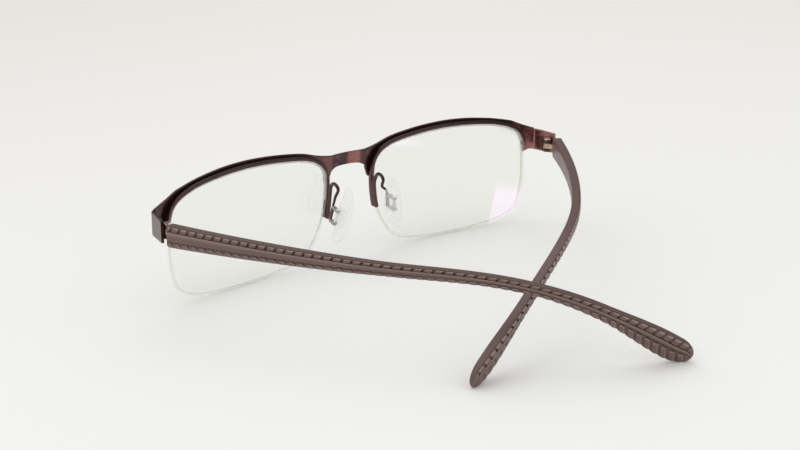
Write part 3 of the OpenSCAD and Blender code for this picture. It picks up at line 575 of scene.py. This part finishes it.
for side, word in SIDES:
    for kind, rings in (("rim_liner", liner_rings), ("lens_cord", cord_rings)):
        strand = skin(word + "_nylon_" + kind, rings, side, sharp=50)
        strand.data.materials.append(nylon)
        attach(strand, "front")
        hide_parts(word + "_" + kind)

# Temples: moulded brown plastic arms with a satin skin. The outer face carries a
# row of raised tiles, a smooth band and a row of scales that grow into slats on
# the leaf. Each arm is moulded round the strip of its hinge.
TEMPLE_LEN, TEMPLE_H, WAIST_H, LEAF_H, TEMPLE_T, WAIST_T = 142, 6.1, 3, 6.7, 2.9, 2.6
BEND_AT, BEND_LEN, BEND_DROP, FIRST_DROP = 68, 63, 30.3, 0.67
TEMPLE_OUT, TEMPLE_BACK, PIN_IN, KNUCKLE_R, KNUCKLE_GAP = 2.6, 2.9, 1.7, 1.1, 0.25
FOLDS = {"right": math.radians(33.8), "left": math.radians(21.2)}
BOW = np.array([[0, 0.0026], [45, 0.0038], [95, 0.0098], [TEMPLE_LEN, 0.0032]])
start_h, chest_h, neck_h = TEMPLE_H, lerp(WAIST_H, TEMPLE_H, 0.56), lerp(WAIST_H, LEAF_H, 0.3)
UPPER = np.array([[0, start_h * 0.5], [30, chest_h * 0.53], [60, WAIST_H * 0.62], [85, WAIST_H * 0.56],
                  [100, WAIST_H * 0.56], [118, neck_h * 0.5], [126, LEAF_H * 0.41], [132, LEAF_H * 0.48],
                  [TEMPLE_LEN, LEAF_H * 0.46]])
LOWER = np.array([[0, start_h * 0.5], [30, chest_h * 0.47], [60, WAIST_H * 0.5], [85, WAIST_H * 0.44],
                  [100, WAIST_H * 0.44], [118, neck_h * 0.5], [126, LEAF_H * 0.44], [132, LEAF_H * 0.52],
                  [TEMPLE_LEN, LEAF_H * 0.52]])
THICK = np.array([[0, TEMPLE_T], [60, TEMPLE_T * 0.88], [105, WAIST_T], [132, WAIST_T * 0.95],
                  [TEMPLE_LEN, WAIST_T * 0.8]])
BAND = np.array([[0, 0.185], [50, 0.145], [90, 0.11], [118, 0.07], [TEMPLE_LEN, 0.05]])
BAND_RISE = np.array([[0, 0.022], [60, 0.02], [95, 0.03], [125, 0.085], [TEMPLE_LEN, 0.085]])
TIP_TWIST = math.radians(11)
TILE_MARGIN, TILE_COUNT = 1.5, 55
TILE_PITCH = (TEMPLE_LEN - TILE_MARGIN) / TILE_COUNT
to_bend = np.array([-math.cos(LUG_TURN), math.sin(LUG_TURN)])
lug_out = np.array([math.sin(LUG_TURN), math.cos(LUG_TURN)])
pin_xy = lug_xy[-1] + to_bend * PIN_IN - lug_out * (half_sheet + SEAT + KNUCKLE_GAP + KNUCKLE_R)
PIN = np.array([*pin_xy, HINGE_Z])


def step_up(low_end, high_end, x):
    """0 below low_end, 1 above high_end, and between them the share squared times
    three less two shares."""
    t = np.clip((x - low_end) / (high_end - low_end), 0, 1)
    return t * t * (3 - 2 * t)


def along(rows, run):
    """Value at run of rows of [place, value]: straight between rows, then averaged
    over six millimetres so that no corner shows."""
    reach = np.linspace(-3, 3, 13)
    return np.mean([np.interp(run + apart, rows[:, 0], rows[:, 1]) for apart in reach], 0)


RING_GAP, PATH_GAP, TIP_ROUND, CROWN_ROUND = 0.1, 0.05, 7.5, 4.4
CORNER_STEPS, ROW_STEPS = 3, 11


def heading(turn, fall):
    """Direction of an arm that runs back, turned inward and tipped down."""
    return np.stack([-np.sin(turn) * np.cos(fall), -np.cos(turn) * np.cos(fall), -np.sin(fall)], 1)


run = np.concatenate([[0, RING_GAP], np.arange(2 * RING_GAP, TEMPLE_LEN - 1, RING_GAP),
                      TEMPLE_LEN - np.geomspace(1, 0.004, 16)])
fine = np.arange(0, TEMPLE_LEN + PATH_GAP, PATH_GAP)
bow_rate = np.interp(fine[:-1] + PATH_GAP / 2, BOW[:, 0], BOW[:, 1])
bow_turn = np.concatenate([[0], np.cumsum(bow_rate * PATH_GAP)])
fall = np.radians(FIRST_DROP + BEND_DROP * step_up(BEND_AT, BEND_AT + BEND_LEN, fine))
ahead = heading(bow_turn, fall)
travel = np.concatenate([[[0, 0, 0]], np.cumsum((ahead[1:] + ahead[:-1]) / 2 * PATH_GAP, 0)])
path = np.stack([np.interp(run, fine, travel[:, axis]) for axis in range(3)], 1)
path = path + [TEMPLE_OUT, -TEMPLE_BACK, 0]
turn_at, fall_at = np.interp(run, fine, bow_turn), np.interp(run, fine, fall)
aside = np.stack([np.cos(turn_at), -np.sin(turn_at), np.zeros(len(run))], 1)
over = np.cross(heading(turn_at, fall_at), aside)


def drawn_in(length):
    """Share of its full size that the section keeps, falling by a quarter of an
    ellipse over the last length before the tip."""
    past = np.clip(run - (TEMPLE_LEN - length), 0, None) / length
    return np.sqrt(np.clip(1 - past ** 2, 1e-4, 1))


closing = drawn_in(TIP_ROUND)
opening = 1 - 0.03 * (1 - step_up(0, 0.35, run))
above, below = along(UPPER, run) * drawn_in(CROWN_ROUND) * opening, along(LOWER, run) * closing * opening
half_thick = along(THICK, run) / 2 * closing ** 0.6 * opening
height, middle = above + below, (above - below) / 2
slim = np.minimum(1, height / WAIST_H) * closing
band_line = middle + along(BAND_RISE, run) * height
band_top, band_base = band_line + along(BAND, run) * height, band_line - along(BAND, run) * height
late = step_up(35, 95, run)
share = np.linspace(0, 1, ROW_STEPS)[:, None]


def section_point(out, up):
    """One column of the section: outward and upward offsets from the path."""
    return np.stack(np.broadcast_arrays(out, up), -1)


bricks_from, scales_from = share[::-1], lerp(0.05, 0.14, late)
brick_out = half_thick - slim * 0.06 - step_up(0.8, 1.3, bricks_from) * half_thick * 0.5
scale_out = half_thick - slim * lerp(0.03, 0.14, late) - step_up(0.55, 1.1, share) * half_thick * 0.3
brick_row = section_point(brick_out, lerp(band_top, above, lerp(0.15, 0.93, bricks_from)))
scale_row = section_point(scale_out, lerp(band_base, -below, lerp(scales_from, 0.88, share)))
inner_edge = -half_thick + 0.12 * slim

# Each column runs the length of the arm at one place of the section, and comes with
# the radius of its corner. They go from the inner face over the top and down the
# outer face.
columns = [(section_point(-half_thick, middle - 0.2 * height), 0),
           (section_point(-half_thick, middle + 0.2 * height), 0),
           (section_point(inner_edge, above), 0.5), (section_point(half_thick * 0.6, above), 0.2)]
bricks_at = len(columns)
columns += [(column, 0) for column in brick_row]
columns += [(section_point(half_thick - 0.42 * slim, lerp(band_top, above, 0.08)), 0),
            (section_point(half_thick, band_top), 0.1), (section_point(half_thick, band_line), 0),
            (section_point(half_thick, band_base), 0.1),
            (section_point(half_thick - lerp(0.01, 0.4, late) * slim, lerp(band_base, -below, 0.06)), 0)]
scales_at = len(columns)
columns += [(column, 0) for column in scale_row]
columns += [(section_point(half_thick * 0.5, -below), 0.2), (section_point(inner_edge, -below), 0.5)]
corner_radii = [radius for _, radius in columns]
section = rounded_ring(np.stack([column for column, _ in columns], 1), corner_radii, CORNER_STEPS)
points_before = np.cumsum([0] + [CORNER_STEPS + 1 if radius else 1 for radius in corner_radii])
bricks_at, scales_at = points_before[bricks_at], points_before[scales_at]
BRICK_AT, SCALE_AT, TILE_DEPTH, BRICK_SLANT, SCALE_CURL, SLAT_LEAN = 1, 1.85, 0.36, 0.62, 1.6, 1.4
BRICK_JOINT, BRICK_LINE, SHELF_FROM, SHELF_SINK, SCALE_JOINT, LIP_START = 0.44, 0.36, 0.8, 0.7, 0.27, 0.06
SLAT_CORNER, SLAT_EDGE, SLAT_SIDE, SLAT_HIGHLIGHT = 0.9, 0.14, 0.24, 0.6
SCALE_TALL, SLAT_TALL, SCALLOP, HEM_SHARE, HEM_POINTS = 0.28, 0.4, 0.75, 0.85, 6
CROWN_SHADE, SHELF_SHADE, BAND_HIGHLIGHT, BAND_POINTS = 0.22, 0.7, 0.45, 4
groove = np.minimum(TILE_DEPTH, np.minimum(height * 0.1, half_thick * 0.4)) * closing
runs = run[:, None]


def bell(x, width):
    """1 where x is 0, and e to minus the square of x over the width elsewhere."""
    return np.exp(-(x / width) ** 2)


def from_joint(down, lean):
    """Millimetres along from the last joint of the lower row at the share down, for
    joints that lean back by lean over the row."""
    return ((runs - SCALE_AT - lean * down) / TILE_PITCH) % 1 * TILE_PITCH


def tile_groove(offset, width):
    """1 in the middle of a joint between tiles and 0 past its width, where offset is
    the distance along the row in pitches."""
    apart = TILE_PITCH * np.abs((offset + 0.5) % 1 - 0.5)
    return 1 - step_up(width * 0.35, width, apart)


def bricks():
    """How sunk, how dark and how highlit the upper row is. Slanted joints part the
    bricks, a shelf ends them above, and each brick carries a painted highlight below the shelf, brighter
    towards its far end."""
    up = np.linspace(1, 0, ROW_STEPS)[None]
    slant = (runs - BRICK_AT - BRICK_SLANT * up) / TILE_PITCH
    shelf = step_up(SHELF_FROM, 1, up)
    highlit = step_up(0.5, 0.72, up) * (1 - step_up(0.84, 0.98, up)) * (1 - tile_groove(slant, 0.6))
    dark = tile_groove(slant, BRICK_LINE) * (1 - shelf) * (1 - 0.55 * late[:, None])
    sunk = np.maximum(tile_groove(slant, BRICK_JOINT), SHELF_SINK * shelf)
    return sunk, dark, highlit * (0.5 + 0.5 * (slant % 1))


def scales(down):
    """The same for the lower row near the hinge: each scale's lip curls down in an
    arc at its end, and the joint keeps an even width along the lip. The joint is darkened as a dark joint and
    painted shade, and a painted highlight runs just below the lip."""
    place, tall = from_joint(down, 0), height[:, None] * SCALE_TALL
    arch = 1 - np.sqrt(1 - np.clip((place - (TILE_PITCH - SCALE_CURL)) / SCALE_CURL, 0, 0.995) ** 2)
    lip = lerp(LIP_START, 1, arch)
    slope = np.gradient(lip, axis=0) / np.gradient(runs, axis=0)
    reach = (down - lip) * tall / np.sqrt(1 + (slope * tall) ** 2)
    joint = bell(reach, SCALE_JOINT) * step_up(0.15, 0.6, place)
    return joint, joint, 0.55 * bell(reach - 0.42, 0.2) * step_up(0.5, 1.2, place)


def slats(down):
    """The same for the lower row on the leaf: leaning slats with a round upper
    corner, with a painted highlight along their upper end and one side, and a painted shadow along the other
    side and just above the upper end."""
    place = from_joint(down, slat_lean)
    corner = LIP_START + 0.4 * (1 - np.sqrt(1 - np.clip(1 - (place - 0.3) / SLAT_CORNER, 0, 1) ** 2))
    inside = (down - corner) * height[:, None] * SLAT_TALL
    sides = step_up(0.12, 0.42, place) * step_up(0.45, 0.72, TILE_PITCH - place)
    joint = (1 - step_up(0, 0.16, inside) * sides) * (1 - 0.8 * step_up(0.68, 1, down))
    side_shadow = bell(place - 0.22, SLAT_SIDE) * step_up(-0.3, 0, inside)
    side_highlight = SLAT_HIGHLIGHT * bell(TILE_PITCH - place - 0.72, SLAT_EDGE) * step_up(0, 0.2, inside)
    dark = np.maximum(np.maximum(side_shadow, bell(inside + 0.1, SLAT_EDGE) * sides), 0.2 * joint)
    return joint, dark, np.maximum(bell(inside - 0.2, SLAT_EDGE) * sides, side_highlight)


end_fade = (step_up(0.3, 0.7, run) * (1 - step_up(TEMPLE_LEN - 2.4, TEMPLE_LEN - 1.2, run)))[:, None]
slat_lean = SLAT_LEAN * step_up(60, 118, runs) * height[:, None] / LEAF_H
grown = step_up(40, 90, runs)
over_tile = (from_joint(1, slat_lean) + 0.1) / TILE_PITCH % 1
wave = SCALLOP * late[:, None] * (1 - np.sqrt(np.sin(math.pi * over_tile)))
# The marks: how far each point sinks, a darkening for dark joints and painted shade, and a painted highlight.
sink, hollow, crest = np.zeros((3, *section.shape[:2]))
# Painted shade on the crown of the arm.
hollow[:, 2:bricks_at] = CROWN_SHADE
for shade, upper, early, grown_up in zip((sink, hollow, crest), bricks(), scales(share.T), slats(share.T)):
    shade[:, bricks_at:bricks_at + ROW_STEPS] = upper * end_fade
    shade[:, scales_at:scales_at + ROW_STEPS] = lerp(early, grown_up, grown) * end_fade
hem = scales_at + ROW_STEPS - 2
sink[:, hem:hem + HEM_POINTS] = np.maximum(sink[:, hem + 1:hem + 2] * HEM_SHARE, wave * end_fade)
under_bricks = bricks_at + ROW_STEPS
# Painted shade under the shelf and above the first scale, and a painted highlight along the band's upper
# edge.
hollow[:, under_bricks - 1], hollow[:, under_bricks], hollow[:, scales_at - 1] = SHELF_SHADE, 1, late
crest[:, under_bricks + 1:under_bricks + 1 + BAND_POINTS] = BAND_HIGHLIGHT
tangent = np.roll(section, -1, 1) - np.roll(section, 1, 1)
inward = unit(np.stack([-tangent[..., 1], tangent[..., 0]], -1))
middle_of = np.stack([np.zeros(len(run)), middle], -1)[:, None]
inward *= np.sign((inward * (middle_of - section)).sum(-1, keepdims=True).sum(1, keepdims=True))
section = section + inward * (sink * groove[:, None])[..., None]
twist = TIP_TWIST * step_up(70, 125, runs)
across, rising = section[..., 0], section[..., 1]
section = np.stack([across * np.cos(twist) + rising * np.sin(twist),
                    rising * np.cos(twist) - across * np.sin(twist)], -1)
temple_rings = path[:, None] + aside[:, None] * section[..., :1] + over[:, None] * section[..., 1:]


def hinged(points, word):
    """Points of a temple lying straight back from its pin, turned about the pin by
    the fold of that side and moved to the right hinge."""
    cosine, sine = math.cos(FOLDS[word]), math.sin(FOLDS[word])
    x, y, z = points[..., 0], points[..., 1], points[..., 2]
    return np.stack([cosine * x + sine * y, -sine * x + cosine * y, z], -1) + PIN


PALE_BROWN, DEEP_BROWN, JOINT_SHADE_BROWN = (0.152, 0.086, 0.077), (0.12, 0.064, 0.057), (0.03, 0.012, 0.011)
HIGHLIGHT_BROWN, GRAIN_DEPTH = (0.36, 0.262, 0.232), 0.00002
moulded, add, give = finish_nodes("satin_moulded_brown")
drift, grain = mottled(add, scale=45, detail=3), mottled(add, scale=2600, detail=3)
# The brown is darkened by the joint mark, for dark joints and painted shade, and lightened by the highlight
# mark, for painted highlights.
joint_and_shade_share = product(add, add("Attribute", {"attribute_name": "hollow"}).outputs["Fac"], 0.85)
highlight_share = add("Attribute", {"attribute_name": "crest"}).outputs["Fac"]
highlit = blend(add, highlight_share, blend(add, drift, DEEP_BROWN, PALE_BROWN), HIGHLIGHT_BROWN)
bump = add("Bump", None, Strength=0.2, Distance=GRAIN_DEPTH, Height=grain)
give(Base_Color=blend(add, joint_and_shade_share, highlit, JOINT_SHADE_BROWN), Coat_Weight=0.25, Coat_Roughness=0.3,
     Roughness=scaled(add, grain, 0.4, 0.58), Normal=bump.outputs[0])
for side, word in SIDES:
    arm = skin(word + "_moulded_temple", hinged(temple_rings, word), side, sharp=60,
               marks={"hollow": hollow, "crest": crest})
    arm.data.materials.append(moulded)
    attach(arm, word + "_temple_body")
    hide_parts(word + "_temple")

# Pad arms: a wire brazed to each eyewire's foot, looped over and soldered to a
# small pressed box of bright metal that takes the pad's screw.
PAD_X, PAD_BACK, PAD_LOW, BOX_GAP, BOX_T, ARM_R, FOOT_R = BRIDGE_W / 2 + 2.1, 7, 0.7, 3.1, 0.5, 0.42, 0.6
BOX_TIP, PAD_LEAN, BOX_YAW = math.radians(10), math.radians(12), math.radians(8.7)
FLANGE_R, BOX_ROOT, ROOT_W, FLANGE_CURL, DOME_H, DOME_R = 0.7, 2.8, 0.9, 0.25, 0.12, 0.6
BOX_H = BOX_GAP + 2 * BOX_T


def turned(points, angle, i, j):
    """Points turned by angle from axis i towards axis j."""
    made = np.array(points, float)
    cosine, sine = math.cos(angle), math.sin(angle)
    made[..., i] = points[..., i] * cosine - points[..., j] * sine
    made[..., j] = points[..., i] * sine + points[..., j] * cosine
    return made


def at_pad(points):
    """Points given from a pad's screw, tipped back, leaned towards the nose, turned
    outward and moved to the right pad."""
    points = np.asarray(points, float)
    leaned = turned(turned(points, BOX_TIP, 1, 2), -PAD_LEAN, 2, 0)
    return turned(leaned, BOX_YAW, 0, 1) + [PAD_X, -PAD_BACK, -PAD_LOW]


foot_fore = RIM_BACK - 3 * SEAT - FOOT_R
leg_y = BOX_ROOT + ARM_R * 0.6
LOOP_X = BRIDGE_W / 2 - 0.4
wire_knots = np.array([edge_points(10, 0.65, foot_fore), edge_points(9.65, 0.6, foot_fore),
                       edge_points(9.3, 0.6, foot_fore), [LOOP_X, -1.5, 6.5], [LOOP_X, -2.6, 7.6],
                       [LOOP_X, -4.1, 7.4], [LOOP_X, -4.9, 6.2], [LOOP_X + 0.3, -4, 4.2],
                       at_pad([0, leg_y, 3.1]), at_pad([0, leg_y, 1]), at_pad([0, leg_y, -BOX_H / 2])])
wire_radii = np.array([FOOT_R, FOOT_R, FOOT_R, FOOT_R * 0.9, 0.5, 0.5, 0.46, ARM_R, 0.34, 0.34, 0.34])


def tube(knots, radii, per_knot, sides):
    """Round wire along the smooth curve through the knots, its radius following the
    curve through the radii. Each ring stands square to the curve, and the ends are
    drawn in to a small dome, DOME_H high and its last ring DOME_R as wide."""
    t = np.linspace(0, len(knots) - 1, (len(knots) - 1) * per_knot + 1)
    middle, radius = through(knots, t), through(radii, t)
    ahead = unit(np.gradient(middle, axis=0))
    sideways = unit(np.cross(ahead, [1, 0, 0.2]))
    square = np.cross(sideways, ahead)
    domed = np.concatenate([[0], np.arange(len(t)), [len(t) - 1]])
    radius = radius[domed] * np.concatenate([[DOME_R], np.ones(len(t)), [DOME_R]])
    beyond = np.concatenate([[-DOME_H * ahead[0]], np.zeros((len(t), 3)), [DOME_H * ahead[-1]]])
    middle = middle[domed] + beyond
    turn = np.linspace(0, 2 * math.pi, sides, endpoint=False)[:, None]
    spoke = sideways[domed][:, None] * np.cos(turn) + square[domed][:, None] * np.sin(turn)
    return middle[:, None] + radius[:, None, None] * spoke


def slab(outline, low_z, high_z, bevel):
    """Flat plate over a closed outline in x and y, from low_z to high_z, its rims
    drawn in by the bevel along the outline's normals."""
    tangent = unit(np.roll(outline, -1, 0) - np.roll(outline, 1, 0))
    inward = np.stack([-tangent[:, 1], tangent[:, 0]], -1)
    inward *= np.sign((inward * (outline.mean(0) - outline)).sum())
    rings = [(bevel, low_z), (0, low_z + bevel), (0, high_z - bevel), (bevel, high_z)]
    return np.stack([np.column_stack([outline + inward * inset, np.full(len(outline), z)])
                     for inset, z in rings])


def arc(centre, radius, start, stop, steps):
    """Points on an arc, angles in degrees."""
    turn = np.radians(np.linspace(start, stop, steps))
    return np.stack([centre[0] + radius * np.cos(turn), centre[1] + radius * np.sin(turn)], -1)


flange_outline = np.concatenate([arc((0, 0), FLANGE_R, 180, 360, 25),
                                 [[ROOT_W / 2, BOX_ROOT - 0.1], [-ROOT_W / 2, BOX_ROOT - 0.1]]])
root_outline = np.array([[-ROOT_W / 3, BOX_ROOT - BOX_T], [ROOT_W / 3, BOX_ROOT - BOX_T],
                         [ROOT_W / 3, BOX_ROOT], [-ROOT_W / 3, BOX_ROOT]])
bright = mottled_finish("bright_turned_steel", 3200, 2, (0.62, 0.6, 0.59), (0.88, 0.86, 0.84), (0.2, 0.38),
                        Metallic=1)[0]
nickel = mottled_finish("pressed_nickel", 1500, 2, (0.36, 0.335, 0.33), (0.5, 0.47, 0.46), (0.35, 0.5),
                        Metallic=0.9)[0]
for side, word in SIDES:
    wire = skin(word + "_pad_wire", tube(wire_knots, wire_radii, per_knot=8, sides=20), side, sharp=60)
    wire.data.materials.append(rim_finish)
    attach(wire, "front")
    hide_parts(word + "_pad_arm")
    for part, outline, low_z, high_z in (
            ("upper_flange", flange_outline, BOX_GAP / 2, BOX_H / 2 + FLANGE_CURL),
            ("lower_flange", flange_outline, -BOX_H / 2 - FLANGE_CURL, -BOX_GAP / 2),
            ("box_back", root_outline, -BOX_H / 2, BOX_H / 2)):
        plate = skin(word + "_pad_" + part, at_pad(slab(outline, low_z, high_z, bevel=0.07)), side)
        plate.data.materials.append(rim_finish if part == "box_back" else nickel)
        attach(plate, "front")

# Nose pads: ovals of clear silicone moulded over a stiff core, whose post turns
# a little on its screw between the flanges of the box.
PAD_H, PAD_W, PAD_T, PAD_CURVE, PAD_FLARE = 16.8, 6.9, 1.7, 0.8, math.radians(5)
PAD_MID, PAD_OFF, PAD_FULLNESS, PAD_TAPER = (-1.15, 1.3), FLANGE_R + 0.33, 0.55, 0.14
around = np.linspace(0, 2 * math.pi, 72, endpoint=False)[None]
through_pad = np.linspace(0.02, math.pi - 0.02, 30)[:, None]
spread = np.sin(through_pad) ** PAD_FULLNESS
depth = -PAD_T * (0.5 - 0.5 * np.cos(through_pad))
rise = spread * np.sin(around)
width = spread * PAD_W / 2 * (1 - PAD_TAPER * np.sin(around)) * np.cos(around)
pad_rings = np.stack(np.broadcast_arrays(depth + PAD_CURVE * rise ** 2, PAD_MID[0] - width,
                                         PAD_MID[1] + rise * PAD_H / 2), -1)
pad_rings = turned(pad_rings, PAD_FLARE - BOX_YAW, 0, 1) - [PAD_OFF, 0, 0]
silicone, add, give, _ = mottled_finish("clear_silicone", 400, 3, (0.92, 0.93, 0.94), (0.98, 0.99, 1),
                                        (0.1, 0.22), IOR=1.41)
give(Alpha=scaled(add, add("LayerWeight", None, Blend=0.3).outputs["Facing"], 0.13, 0.75, 0.1, 1))
core_clear, add, give, haze = mottled_finish("clear_core", 700, 2, (0.86, 0.88, 0.87), (0.94, 0.95, 0.94),
                                             Roughness=0.2)
give(Alpha=scaled(add, haze, 0.04, 0.12))
for side, word in SIDES:
    pad = skin(word + "_silicone_pad", at_pad(pad_rings), side, sharp=60)
    pad.data.materials.append(silicone)
    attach(pad, word + "_pad_body")
    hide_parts(word + "_nose_pad")
    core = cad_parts[word + "_pad_core"]
    core.data.materials.clear()
    core.data.materials.append(core_clear)

# Hinges and screws: turned and milled nickel silver plated bronze brown, with
# bright slotted screws. Their solids are shown as they were cut.
bronze = mottled_finish("bronze_plated", 900, 3, (0.42, 0.28, 0.19), (0.66, 0.5, 0.37), (0.2, 0.4),
                        Metallic=1)[0]
milled = mottled_finish("wine_lacquered_hinge", 700, 3, DARK_WINE, (0.2, 0.085, 0.075), (0.25, 0.42),
                        Metallic=0.85)[0]
satin = mottled_finish("satin_steel", 2400, 2, (0.86, 0.86, 0.85), (0.95, 0.95, 0.94), (0.5, 0.65),
                       Metallic=0.5)[0]
for _, word in SIDES:
    for node, finish in (("_front_hinge", milled), ("_temple_hinge", bronze), ("_hinge_screw", bright),
                         ("_pad_screw", satin)):
        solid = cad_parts[word + node]
        solid.data.materials.clear()
        solid.data.materials.append(finish)

# Table and light: a pale table top under a white tent, which the pieces mirror
# darker towards its foot, with one broad lamp above and a small one at the left.
FLOOR_Z, REACH = min(cad_box[0][2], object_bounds()[0][2]), 4.0
floor_mesh = bpy.data.meshes.new("pale_table")
floor_mesh.from_pydata([(-REACH, -REACH, FLOOR_Z), (REACH, -REACH, FLOOR_Z), (REACH, REACH, FLOOR_Z),
                        (-REACH, REACH, FLOOR_Z)], [], [(0, 1, 2, 3)])
floor = bpy.data.objects.new("pale_table", floor_mesh)
scene.collection.objects.link(floor)


def toward(add, place, direction):
    """Distance of the place from the origin, measured along the direction."""
    return add("VectorMath", {"operation": "DOT_PRODUCT"}, i0=place, i1=direction).outputs["Value"]


def mirrored_rays(add):
    """1 for a ray that a surface has mirrored, and 0 for one that came through it."""
    path = add("LightPath")
    return add("Math", {"operation": "SUBTRACT", "use_clamp": True}, i0=path.outputs["Is Glossy Ray"],
               i1=path.outputs["Is Transmission Ray"]).outputs[0]


# The table is painted darker away from the camera and darker still towards the far left corner: painted
# shade.
NEAR_PAPER, FAR_PAPER_SHADED, CORNER_PAPER_SHADED = (0.91, 0.915, 0.895), (0.84, 0.825, 0.795), (0.785, 0.765, 0.735)
paper, add, give = finish_nodes("pale_paper")
AWAY, LEFTWARD = (0.63, 0.776, 0), (-0.776, 0.63, 0)
where = add("TexCoord").outputs["Object"]
far_shade = scaled(add, toward(add, where, AWAY), 0, 1, -0.1, 0.42)
corner = product(add, far_shade, scaled(add, toward(add, where, LEFTWARD), 0, 1, -0.02, 0.3))
shaded_tone = blend(add, far_shade, NEAR_PAPER, FAR_PAPER_SHADED)

# A pink glowing patch is painted into the table behind the outer end of the right lens, where
# only mirrored rays see it: no lamp, it paints a pink reflection onto the lens. Each row is a direction,
# where the patch starts and is full along it, and where it wanes and is gone.
REFLECTION_GLOW_PINK, NO_LIGHT = (0.8, 0.42, 1), (0, 0, 0)
REFLECTION_GLOW_LIMITS = [((0.927, 0.375, 0), 0.0456, 0.0459, 0.05, 0.052),
               ((0.375, -0.927, 0), 0.028, 0.031, 0.069, 0.078)]
within = []
for direction, starts, full, wanes, gone in REFLECTION_GLOW_LIMITS:
    place = toward(add, where, direction)
    within += [scaled(add, place, 0, 1, starts, full), scaled(add, place, 0, 1, gone, wanes)]
reflection_glow = product(add, *within, mirrored_rays(add))
give(Base_Color=blend(add, corner, shaded_tone, CORNER_PAPER_SHADED), Roughness=0.9, Specular_IOR_Level=0.1,
     Emission_Color=blend(add, reflection_glow, NO_LIGHT, REFLECTION_GLOW_PINK), Emission_Strength=4)
floor.data.materials.append(paper)
TENT_WHITE, TENT_SEEN, TENT_MIRRORED, TENT_TOP = (1, 0.995, 0.985, 1), 0.86, (0.16, 0.8), (-0.1, 0.1, 0.99)
world = bpy.data.worlds.new("white_tent")
world.use_nodes = True
add = node_adder(world.node_tree)
overhead = toward(add, add("TexCoord").outputs["Generated"], TENT_TOP)
mirrored = scaled(add, overhead, *TENT_MIRRORED, 0.35, 0.85)
level = add("Mix", None, i0=mirrored_rays(add), i2=TENT_SEEN, i3=mirrored)
fill_sockets(world.node_tree.nodes["Background"], {"Color": TENT_WHITE, "Strength": level.outputs[0]})
scene.world = world


def soft_lamp(name, place, aim, size, watts):
    """Square area lamp at place, in metres, facing aim."""
    data = bpy.data.lights.new(name, "AREA")
    data.size, data.energy = size, watts
    lamp = bpy.data.objects.new(name, data)
    scene.collection.objects.link(lamp)
    ahead = unit(np.array(aim, float) - place)
    right = unit(np.cross(ahead, [0, 0.02, 1]))
    lamp.matrix_world = looking(place, right, np.cross(right, ahead), ahead)


soft_lamp("overhead", place=(0.1, 0.3, 1.1), aim=(0, -0.05, 0), size=1.2, watts=2)
soft_lamp("left_side", place=(-1.2, 0.1, 0.7), aim=(0, -0.05, 0), size=0.8, watts=1.2)
